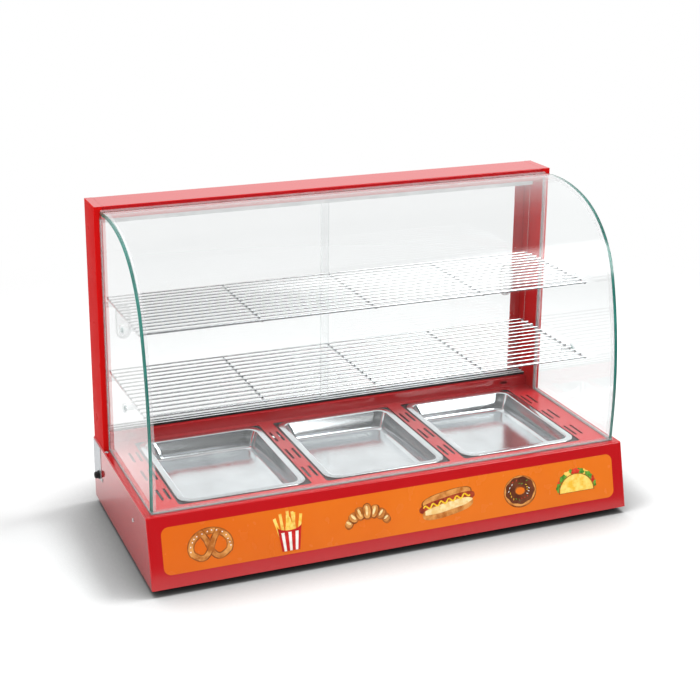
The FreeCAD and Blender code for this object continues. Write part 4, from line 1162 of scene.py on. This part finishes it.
@dataclass
class Racks:
    """Both wire racks and the clear pegs under them."""

    wires: WireRow
    parts: PlacedParts
    peg_radius: float = 0.005
    peg_reach: float = 0.020
    head_radius: float = 0.008
    head_height: float = 0.003

    def make_pegs(self) -> None:
        """Clear pegs: through the side glasses with a head outside, and out of the columns."""
        r = self.peg_radius
        barrel = [(0.0, self.peg_reach), (r - 0.0012, self.peg_reach), (r - 0.0003, self.peg_reach - 0.0005),
                  (r, self.peg_reach - 0.0015), (r, 0.0), (0.0035, 0.0), (0.0035, -0.0065), (0.0, -0.0065)]
        head = [(0.0, self.head_height), (self.head_radius - 0.0012, self.head_height),
                (self.head_radius, self.head_height - 0.001), (self.head_radius, 0.0), (0.0, 0.0)]
        glass_lo, glass_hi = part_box("glass_pegs")
        post_lo, post_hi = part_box("column_pegs")
        levels = (post_lo.z + r, post_hi.z - r)
        glass_y = (glass_lo.y + glass_hi.y) / 2
        post_y = (post_lo.y + post_hi.y) / 2
        inside, heads, posts = [], [], []
        for z in levels:
            for side in (-1, 1):
                inside.append(((side * 0.433, glass_y, z), (-side, 0, 0)))
                heads.append(((side * 0.438, glass_y, z), (side, 0, 0)))
                posts.append(((side * 0.433, post_y, z), (-side, 0, 0)))
        barrel_part = lathe("peg_barrel", barrel, 28)
        head_part = lathe("peg_head", head, 32)
        through = joined("glass_peg_set", [
            self.parts.place("peg_barrels", barrel_part, inside, Look.PEG),
            self.parts.place("peg_heads", head_part, heads, Look.PEG)])
        show(through, "glass_peg_set", [Look.PEG], "housing", ["glass_pegs"])
        mesh = self.parts.place("column_peg_set", barrel_part, posts, Look.PEG)
        show(mesh, "column_peg_set", [Look.PEG], "housing", ["column_pegs"])

    def dress(self) -> None:
        """Make the racks and their pegs."""
        Rack("shelf_lower", "lower_rack", 0.271, 0.147, 0.236).make(self.wires)
        Rack("shelf_upper", "upper_rack", 0.411, 0.143, 0.217).make(self.wires)
        self.make_pegs()


@dataclass
class Controls:
    """Knob, switches and indicator at the back, gland at the side and the parts inside."""

    parts: PlacedParts
    knob_flutes: int = 24
    knob_radius: float = 0.018

    def make_knob(self) -> None:
        """A fluted knob with a skirt and a white pointer line."""
        lo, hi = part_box("thermostat_knob")
        skirt = hi.y - 0.015
        r = self.knob_radius
        rows = [(0.0029, lo.y), (0.0029, skirt - 0.0002), (r - 0.0006, skirt), (r, skirt + 0.0006), (r, skirt + 0.003),
                (r - 0.0008, skirt + 0.004), (r - 0.0035, skirt + 0.0042), (r - 0.0040, skirt + 0.006),
                (r - 0.0046, hi.y - 0.002), (r - 0.0052, hi.y - 0.0008), (r - 0.0062, hi.y - 0.0002),
                (r - 0.008, hi.y), (0.0, hi.y - 0.0004)]
        sides = self.knob_flutes * 4
        centre_x = (lo.x + hi.x) / 2
        centre_z = (lo.z + hi.z) / 2
        outlines = []
        for radius, y in rows:
            ring = []
            for i in range(sides):
                a = 2 * math.pi * i / sides
                flute = 0.0006 * (0.5 + 0.5 * math.cos(self.knob_flutes * a))
                deep = flute if skirt + 0.005 < y < hi.y - 0.0005 and radius > 0.009 else 0.0
                reach = max(radius - deep, 1e-7)
                ring.append((centre_x + reach * math.sin(a), y, centre_z + reach * math.cos(a)))
            outlines.append(ring)
        mesh = tidy_mesh(rings("fluted_knob", outlines, True, False))
        show(mesh, "fluted_knob", [Look.BLACK], "knob", ["thermostat_knob"], 40.0)
        top = hi.y - 0.0001
        bar = [(centre_x + s * 0.0007, y, z) for z in (centre_z + 0.004, centre_z + 0.0095)
               for s, y in ((-1, top - 0.001), (1, top - 0.001), (1, top), (-1, top))]
        faces = [(0, 1, 2, 3), (7, 6, 5, 4), (0, 4, 5, 1), (1, 5, 6, 2), (2, 6, 7, 3), (3, 7, 4, 0)]
        mark = tidy_mesh(mesh_from("knob_mark", bar, faces))
        show(mark, "knob_mark", [Look.WHITE], "knob")

    def make_gland(self) -> None:
        """A turned cord gland with a rounded end and an open bore."""
        lo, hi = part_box("cable_gland")
        y = (lo.y + hi.y) / 2
        z = (lo.z + hi.z) / 2
        face = -0.450
        tip = face - lo.x
        profile = [(0.004, tip), (0.0052, tip), (0.006, tip - 0.001), (0.0064, tip - 0.003), (0.0064, 0.0034),
                   (0.0076, 0.003), (0.008, 0.0024), (0.008, 0.0), (0.0064, 0.0), (0.0064, -0.0119), (0.004, -0.0119),
                   (0.004, tip)]
        mesh = self.parts.place("cord_gland", lathe("gland_part", profile, 36), [((face, y, z), (-1, 0, 0))], Look.BLACK)
        show(mesh, "cord_gland", [Look.BLACK], "housing", ["cable_gland"])

    def make_indicator(self) -> None:
        """A domed amber lens."""
        lo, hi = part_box("indicator_light")
        x = (lo.x + hi.x) / 2
        z = (lo.z + hi.z) / 2
        depth = hi.y - lo.y - 0.003
        profile = [(0.0, 0.003), (0.003, 0.0028), (0.0052, 0.0021), (0.0064, 0.001), (0.0069, 0.0004), (0.0069, 0.0),
                   (0.0048, 0.0), (0.0048, -depth), (0.0, -depth)]
        part = lathe("lens_part", profile, 36)
        mesh = self.parts.place("amber_light", part, [((x, hi.y - 0.003, z), (0, 1, 0))], Look.AMBER)
        show(mesh, "amber_light", [Look.AMBER], "housing", ["indicator_light"])

    def dress(self) -> None:
        """Make the round controls and dress the rest."""
        dress(Look.BLACK, "switch_power", "switch_light", "rocker_power", "rocker_light", "thermostat", "terminal_block")
        self.make_knob()
        self.make_gland()
        self.make_indicator()


class Print(Enum):
    """Inks of the front film."""

    FILM = Ink("film_orange", srgb(220, 102, 16), srgb(230, 116, 24), 3.0)
    BUN = Ink("ink_bun", srgb(176, 98, 34), srgb(226, 158, 84), 70.0)
    CRUST = Ink("ink_crust", srgb(120, 58, 18), srgb(176, 98, 38), 90.0)
    CRUMB = Ink("ink_crumb", srgb(238, 196, 122), srgb(250, 226, 168), 110.0)
    SAUSAGE = Ink("ink_sausage", srgb(132, 40, 22), srgb(178, 70, 40), 90.0)
    MUSTARD = Ink("ink_mustard", srgb(240, 184, 24), srgb(252, 214, 70), 160.0)
    POTATO = Ink("ink_potato", srgb(226, 170, 60), srgb(250, 214, 112), 130.0)
    CARTON = Ink("ink_carton", srgb(176, 20, 22), srgb(204, 40, 34), 60.0)
    PAPER = Ink("ink_paper", srgb(232, 226, 214), srgb(250, 248, 242), 60.0)
    SALT = Ink("ink_salt", srgb(240, 238, 232), srgb(255, 254, 250), 200.0)
    ICING = Ink("ink_icing", srgb(84, 40, 22), srgb(112, 58, 34), 60.0)
    LEAF = Ink("ink_leaf", srgb(50, 112, 34), srgb(110, 168, 62), 140.0)
    TOMATO = Ink("ink_tomato", srgb(190, 34, 22), srgb(226, 74, 46), 120.0)
    CHEESE = Ink("ink_cheese", srgb(244, 190, 60), srgb(254, 222, 118), 120.0)

    def material(self) -> bpy.types.Material:
        """The material of this ink."""
        return self.value.material()


@dataclass
class FrontFilm:
    """The orange film on the leaning front panel, with generic snacks printed on it."""

    half_width: float = 0.427
    low: float = 0.022
    high: float = 0.102
    corner: float = 0.013
    film: float = 0.00025
    layer: float = 0.00008
    setback: float = 0.028
    patches: list[tuple[list[Point2], Print, int]] = field(default_factory=list)

    def frame_of_panel(self) -> tuple[Vector, Vector, Vector]:
        """Where the panel lies.

        Returns:
            The foot of the panel's middle, its direction up the slope, and its outward normal.
        """
        lo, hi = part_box("base_shell")
        up = Vector((0, self.setback, hi.z - lo.z)).normalized()
        out = Vector((0, -up.z, up.y))
        return Vector((0, lo.y, lo.z)), up, out

    def slab(self, name: str, outline: Sequence[Point2], bottom: float, top: float) -> bpy.types.Mesh:
        """A thin closed slab on the panel.

        Args:
            name: The mesh's name.
            outline: Across and up-slope points, in metres.
            bottom: Height of its lower face over the panel.
            top: Height of its upper face.

        Returns:
            The mesh.
        """
        foot, up, out = self.frame_of_panel()
        levels = [[foot + Vector((u, 0, 0)) + up * v + out * h for u, v in outline] for h in (bottom, top)]
        return tidy_mesh(rings(name, levels, True, True), 1e-7)

    def patch(self, outline: Sequence[Point2], ink: Print, layer: int) -> None:
        """Keep a printed patch for the film.

        Args:
            outline: Across and up-slope points, in metres.
            ink: Its ink.
            layer: Its place in the stack, from 1.
        """
        self.patches.append((list(outline), ink, layer))

    def blob(self, u: float, v: float, a: float, b: float, turn: float, ink: Print, layer: int,
             wobble: float = 0.0, lobes: int = 5, square: float = 2.0) -> None:
        """A rounded patch.

        Args:
            u: Middle, across.
            v: Middle, up the slope.
            a: Half its length.
            b: Half its width.
            turn: Its lean in degrees.
            ink: Its ink.
            layer: Its place in the stack.
            wobble: Share by which its outline wavers.
            lobes: Waves round the outline.
            square: 2 for an ellipse, more for a boxier form.
        """
        t = math.radians(turn)
        outline = []
        for i in range(48):
            s = 2 * math.pi * i / 48
            reach = 1 + wobble * math.sin(lobes * s + u * 90)
            x = a * reach * math.copysign(abs(math.cos(s)) ** (2 / square), math.cos(s))
            y = b * reach * math.copysign(abs(math.sin(s)) ** (2 / square), math.sin(s))
            outline.append((u + x * math.cos(t) - y * math.sin(t), v + x * math.sin(t) + y * math.cos(t)))
        self.patch(outline, ink, layer)

    def stroke(self, path: Sequence[Point2], width: float, ink: Print, layer: int) -> None:
        """A band of even width along a path.

        Args:
            path: Points along its middle.
            width: Its width.
            ink: Its ink.
            layer: Its place in the stack.
        """
        left, right = [], []
        for i, (u, v) in enumerate(path):
            a = path[max(i - 1, 0)]
            b = path[min(i + 1, len(path) - 1)]
            along = math.hypot(b[0] - a[0], b[1] - a[1]) or 1.0
            nu, nv = -(b[1] - a[1]) / along, (b[0] - a[0]) / along
            left.append((u + nu * width / 2, v + nv * width / 2))
            right.append((u - nu * width / 2, v - nv * width / 2))
        for i in range(len(path) - 1):
            self.patch([left[i], right[i], right[i + 1], left[i + 1]], ink, layer)

    def hot_dog(self, u: float, v: float) -> None:
        """A sausage in a long bun with a wave of mustard."""
        self.blob(u, v + 0.010, 0.050, 0.013, 8, Print.CRUST, 1, 0.0, 5, 2.6)
        self.blob(u, v + 0.011, 0.047, 0.011, 8, Print.BUN, 2, 0.0, 5, 2.6)
        self.blob(u, v + 0.002, 0.055, 0.010, 8, Print.SAUSAGE, 3, 0.0, 5, 2.8)
        self.blob(u + 0.001, v - 0.009, 0.050, 0.013, 8, Print.BUN, 4, 0.0, 5, 2.6)
        self.blob(u + 0.002, v - 0.005, 0.047, 0.007, 8, Print.CRUMB, 5, 0.03, 7, 2.6)
        t = math.radians(8)
        wave = []
        for i in range(61):
            x = -0.046 + 0.092 * i / 60
            y = 0.0045 + 0.0032 * math.sin(i * 0.62)
            wave.append((u + x * math.cos(t) - y * math.sin(t), v + x * math.sin(t) + y * math.cos(t)))
        self.stroke(wave, 0.0028, Print.MUSTARD, 6)

    def fries(self, u: float, v: float) -> None:
        """Potato sticks in a plain striped carton."""
        for i, (du, lean, top) in enumerate(((-0.016, 14, 0.024), (-0.011, 6, 0.031), (-0.005, -4, 0.028),
                                             (0.000, 3, 0.034), (0.005, -7, 0.030), (0.010, 5, 0.032),
                                             (0.015, -10, 0.026), (-0.008, -9, 0.022), (0.008, 12, 0.023))):
            t = math.radians(lean)
            ends = [(u + du, v - 0.012), (u + du + math.tan(t) * -0.04, v + top)]
            self.stroke(ends, 0.0052, Print.POTATO if i % 2 else Print.CHEESE, 1 + i % 3)
        carton = [(u - 0.016, v - 0.034), (u + 0.016, v - 0.034), (u + 0.022, v + 0.010)]
        for i in range(13):
            a = math.pi * i / 12
            carton.append((u + 0.022 * math.cos(a), v + 0.010 - 0.009 * math.sin(a)))
        self.patch(carton, Print.CARTON, 5)
        for k in (-1, 0, 1):
            self.patch([(u + k * 0.010 - 0.0022, v - 0.0338), (u + k * 0.010 + 0.0022, v - 0.0338),
                        (u + k * 0.0128 + 0.0028, v - 0.002), (u + k * 0.0128 - 0.0028, v - 0.002)], Print.PAPER, 6)

    def pretzel(self, u: float, v: float) -> None:
        """A knotted pretzel with coarse salt."""
        path = []
        for i in range(121):
            s = -math.pi * 0.14 + (math.pi * 1.28) * i / 120
            path.append((u + 0.034 * math.cos(s), v - 0.003 + 0.026 * math.sin(s)))
        arms = []
        for side in (1, -1):
            arm = []
            for i in range(41):
                k = i / 40
                x = 0.031 * (1 - k) ** 0.8 - 0.013 * math.sin(math.pi * k) * 0.4 - 0.016 * k
                y = -0.013 - 0.012 * math.sin(math.pi * min(k * 1.3, 1.0)) + 0.036 * k ** 2
                arm.append((u + side * x, v + y))
            arms.append(arm)
        for width, ink, layer in ((0.0125, Print.CRUST, 1), (0.0085, Print.BUN, 2)):
            self.stroke(path, width, ink, layer)
        for order, arm in enumerate(arms):
            self.stroke(arm, 0.0115, Print.CRUST, 3 + 2 * order)
            self.stroke(arm, 0.0078, Print.BUN, 4 + 2 * order)
        for i in range(8, 113, 8):
            su, sv = path[i]
            self.blob(su + 0.0012 * math.sin(i), sv + 0.0014 * math.cos(i * 1.7), 0.0011, 0.0009, i * 23, Print.SALT, 7,
                      0.1, 4, 3.0)

    def croissant(self, u: float, v: float) -> None:
        """A crescent roll of overlapping folds."""
        for i, share in enumerate((-1.0, 1.0, -0.66, 0.66, -0.33, 0.33, 0.0)):
            angle = share * 62
            t = math.radians(90 + angle)
            cu = u + 0.034 * math.cos(t) * 1.15
            cv = v - 0.022 + 0.032 * math.sin(t)
            thick = 0.0145 - 0.0068 * abs(share)
            self.blob(cu, cv, 0.0095, thick, angle, Print.CRUST, 1 + i, 0.02, 5, 2.3)
            self.blob(cu - 0.0006, cv + 0.0008, 0.0068, thick * 0.86, angle, Print.BUN, 2 + i, 0.02, 5, 2.2)
            self.blob(cu - 0.001, cv + 0.002, 0.0022, thick * 0.6, angle, Print.CRUMB, 3 + i, 0.05, 3, 2.2)

    def doughnut(self, u: float, v: float) -> None:
        """An iced ring with sprinkles."""
        self.blob(u, v - 0.001, 0.033, 0.029, 0, Print.CRUST, 1)
        self.blob(u, v, 0.0315, 0.0272, 0, Print.BUN, 2)
        self.blob(u, v + 0.001, 0.029, 0.0245, 0, Print.ICING, 3, 0.035, 9)
        self.blob(u, v + 0.001, 0.0105, 0.0080, 0, Print.CRUST, 4)
        self.blob(u, v + 0.0002, 0.0090, 0.0064, 0, Print.FILM, 5)
        inks = (Print.MUSTARD, Print.SALT, Print.TOMATO, Print.LEAF)
        for i in range(22):
            a = i * 2.3999
            reach = 0.0145 + 0.0105 * ((i * 7) % 11) / 11
            self.blob(u + reach * math.cos(a), v + 0.001 + reach * 0.84 * math.sin(a), 0.0018, 0.0006, i * 67,
                      inks[i % 4], 6, 0.0, 5, 3.0)

    def taco(self, u: float, v: float) -> None:
        """A folded shell with filling along its edge."""
        for i in range(11):
            a = math.radians(12 + 15.6 * i)
            ink = (Print.LEAF, Print.TOMATO, Print.LEAF, Print.CHEESE)[i % 4]
            self.blob(u + 0.036 * math.cos(a), v - 0.014 + 0.032 * math.sin(a), 0.0085, 0.0062, math.degrees(a) + 90,
                      ink, 1 + i % 3, 0.12, 6)
        shell = [(u + 0.037 * math.cos(math.pi * i / 32), v - 0.019 + 0.034 * math.sin(math.pi * i / 32))
                 for i in range(33)]
        self.patch(shell, Print.CRUST, 5)
        face = [(u + 0.0348 * math.cos(math.pi * i / 32), v - 0.0182 + 0.0318 * math.sin(math.pi * i / 32))
                for i in range(33)]
        self.patch(face, Print.CHEESE, 6)

    def make(self) -> None:
        """Lay the film and print it."""
        outline = rounded_outline(2 * self.half_width, self.high - self.low, self.corner, 10)
        middle = (self.high + self.low) / 2
        sheet = self.slab("front_film", [(u, v + middle) for u, v in outline], 0.0, self.film)
        show(sheet, "front_film", [Print.FILM.material()], "housing")
        menu = ((self.pretzel, -0.345), (self.fries, -0.205), (self.croissant, -0.062), (self.hot_dog, 0.090),
                (self.doughnut, 0.235), (self.taco, 0.350))
        for motif, u in menu:
            motif(u, middle)
        inks = list(Print)
        meshes = []
        for outline, ink, layer in self.patches:
            base = self.film + (layer - 1) * self.layer
            slab = self.slab("patch", outline, base, base + self.layer)
            slab.polygons.foreach_set("material_index", [inks.index(ink)] * len(slab.polygons))
            meshes.append(slab)
        mesh = joined("snack_print", meshes)
        show(mesh, "snack_print", [ink.material() for ink in inks], "housing")


# --- studio ------------------------------------------------------------------------------
@dataclass
class Studio:
    """Floor, backdrop, lamps and camera."""

    camera_at: tuple[float, float, float] = (-0.9765, -2.2657, 1.1749)
    look_at: tuple[float, float, float] = (-0.1081, 0.006, 0.4384)
    lens: float = 74.32
    shift: Point2 = (0.0695, -0.0930)
    floor_size: float = 60.0
    white_from: Point2 = (1.1, 1.9)
    dark_from: Point2 = (0.9, 1.3)
    soft: float = 0.5
    front_dark: float = 0.12
    back_light: float = 0.95
    top_light: float = 0.75
    haze_rise: tuple[float, float, float, float] = (0.15, 0.27, 0.60, 0.75)
    haze_turn: tuple[float, float, float, float] = (0.38, 0.54, 0.85, 1.2)
    haze: float = 6.0
    # How far from the object the painted contact shade on the floor reaches.
    contact_shade_reach: float = 0.14

    def seen_ray(self, g: Graph) -> bpy.types.NodeSocket:
        """1 for rays from the camera, and for those that glass lets through."""
        path = g.add("ShaderNodeLightPath").outputs
        return g.add("ShaderNodeMath", {0: path["Is Camera Ray"], 1: path["Is Transmission Ray"]},
                     operation="MAXIMUM").outputs[0]

    def ease(self, g: Graph, value: bpy.types.NodeSocket, start: float, end: float, low: float = 0.0,
             high: float = 1.0) -> bpy.types.NodeSocket:
        """A smooth step between two values."""
        return g.add("ShaderNodeMapRange", {"Value": value, "From Min": start, "From Max": end, "To Min": low,
                                            "To Max": high}, interpolation_type="SMOOTHSTEP").outputs["Result"]

    def calc(self, g: Graph, kind: str, a: object, b: object) -> bpy.types.NodeSocket:
        """One sum of two values."""
        return g.add("ShaderNodeMath", {0: a, 1: b}, operation=kind).outputs[0]

    def make_floor(self) -> None:
        """A wide pale floor that keeps the object's shadow, darkens it further with painted contact shade next to the
        object, and fades to white away from it.
        """
        half = self.floor_size / 2
        mesh = mesh_from("floor", [(-half, -half, 0), (half, -half, 0), (half, half, 0), (-half, half, 0)],
                         [(0, 1, 2, 3)])
        floor = bpy.data.objects.new("floor", mesh)
        bpy.context.scene.collection.objects.link(floor)

        def build(g: Graph) -> bpy.types.NodeSocket:
            cloud = g.ramp(g.noise(2.0, 2.0), [(0.3, (0.86, 0.86, 0.86, 1)), (0.7, (0.88, 0.88, 0.88, 1))])
            # Painted shade: the floor's colour darkens towards near black where ambient occlusion finds the object
            # close by.
            contact_ao = g.add("ShaderNodeAmbientOcclusion", {"Distance": self.contact_shade_reach}, samples=12).outputs["AO"]
            depth = self.calc(g, "POWER", contact_ao, 1.7)
            painted_shade_colour = g.add("ShaderNodeMix", {0: depth, 6: (0.05, 0.048, 0.046, 1.0), 7: cloud}, data_type="RGBA")
            body = g.add("ShaderNodeBsdfDiffuse", {"Color": painted_shade_colour.outputs[2]})
            place = g.add("ShaderNodeTexCoord").outputs["Object"]
            away = g.add("ShaderNodeVectorMath", {0: place}, operation="LENGTH").outputs["Value"]
            seen = self.seen_ray(g)
            mirrored = g.mirrored_ray()
            seen_far = self.calc(g, "MULTIPLY", seen, self.ease(g, away, *self.white_from))
            mirrored_far = self.calc(g, "MULTIPLY", mirrored, self.ease(g, away, *self.dark_from))
            share = self.calc(g, "ADD", seen_far, mirrored_far)
            behind = g.add("ShaderNodeSeparateXYZ", {0: place}).outputs[1]
            level = self.ease(g, behind, -0.6, 0.5, self.front_dark, self.back_light)
            dim = self.calc(g, "MULTIPLY", mirrored, self.calc(g, "SUBTRACT", 1.0, level))
            strength = self.calc(g, "SUBTRACT", 1.0, dim)
            glow = g.add("ShaderNodeEmission", {"Color": (1, 1, 1, 1), "Strength": strength})
            return g.add("ShaderNodeMixShader", {0: share, 1: body.outputs[0], 2: glow.outputs[0]}).outputs[0]
        mesh.materials.append(shader("pale_floor", build))

    def make_world(self) -> None:
        """Soft light all round, a white backdrop, and a dark front for what mirrors it."""
        world = bpy.data.worlds.new("studio")
        bpy.context.scene.world = world
        world.use_nodes = True
        world.node_tree.nodes.clear()
        g = Graph(world.node_tree)
        way = g.add("ShaderNodeSeparateXYZ", {0: g.add("ShaderNodeTexCoord").outputs["Object"]}).outputs
        back = self.ease(g, way[1], -0.3, 0.3, self.front_dark, self.back_light)
        above = self.ease(g, way[2], 0.45, 0.8, self.front_dark, self.top_light)
        turn = self.calc(g, "DIVIDE", way[0], self.calc(g, "MULTIPLY", way[1], -1.0))
        haze = self.ease(g, way[1], 0.0, -0.1, 0.0, self.haze)
        for value, edges in ((way[2], self.haze_rise), (turn, self.haze_turn)):
            haze = self.calc(g, "MULTIPLY", haze, self.ease(g, value, *edges[:2]))
            haze = self.calc(g, "MULTIPLY", haze, self.ease(g, value, *edges[2:], 1.0, 0.0))
        level = self.calc(g, "ADD", self.calc(g, "MAXIMUM", back, above), haze)
        mirrored = self.calc(g, "MULTIPLY", g.mirrored_ray(), self.calc(g, "SUBTRACT", level, self.soft))
        seen = self.calc(g, "MULTIPLY", self.seen_ray(g), 1.0 - self.soft)
        strength = self.calc(g, "ADD", self.calc(g, "ADD", mirrored, seen), self.soft)
        sky = g.add("ShaderNodeBackground", {"Color": (1, 1, 1, 1), "Strength": strength})
        g.add("ShaderNodeOutputWorld", {"Surface": sky.outputs[0]})

    def lamp(self, name: str, place: Sequence[float], aim: Sequence[float], size: Point2, power: float) -> None:
        """One soft box that shiny surfaces don't show.

        Args:
            name: The lamp's name.
            place: Where it stands.
            aim: The point that it faces.
            size: Its width and height.
            power: Its power in watts.
        """
        data = bpy.data.lights.new(name, "AREA")
        data.shape = "RECTANGLE"
        data.size, data.size_y = size
        data.energy = power
        lamp = bpy.data.objects.new(name, data)
        lamp.location = place
        lamp.rotation_mode = "QUATERNION"
        lamp.rotation_quaternion = (Vector(aim) - Vector(place)).to_track_quat("-Z", "Y")
        lamp.visible_glossy = False
        bpy.context.scene.collection.objects.link(lamp)

    def make_camera(self) -> None:
        """The camera, level and slightly shifted."""
        data = bpy.data.cameras.new("camera")
        data.sensor_width = 36.0
        data.lens = self.lens
        data.shift_x, data.shift_y = self.shift
        camera = bpy.data.objects.new("camera", data)
        camera.location = self.camera_at
        camera.rotation_mode = "QUATERNION"
        camera.rotation_quaternion = (Vector(self.look_at) - Vector(self.camera_at)).to_track_quat("-Z", "Y")
        bpy.context.scene.collection.objects.link(camera)
        bpy.context.scene.camera = camera

    def make(self) -> None:
        """Set up everything round the object."""
        self.make_floor()
        self.make_world()
        self.lamp("right_box", (1.5, 0.1, 3.3), (0.0, 0.0, 0.1), (1.2, 1.0), 82.0)
        self.lamp("left_box", (-1.5, 0.1, 3.3), (0.0, 0.0, 0.1), (1.2, 1.0), 46.0)
        self.lamp("front_box", (-0.8, -3.0, 1.6), (0.0, 0.0, 0.3), (2.4, 1.6), 32.0)
        self.make_camera()
        bpy.context.scene.view_settings.view_transform = "Standard"


def main() -> None:
    """Dress every sub-assembly, then build the studio and note the sizes."""
    logging.basicConfig(level=logging.INFO, format="%(name)s: %(message)s")
    parts = PlacedParts()
    for assembly in (Base(parts), FoodWells(), Glazing(), RearFrame(), Racks(WireRow(), parts), Controls(parts)):
        LOG.info("dressing %s", type(assembly).__name__)
        assembly.dress()
    FrontFilm().make()
    Studio().make()


if __name__ == "__main__":
    main()
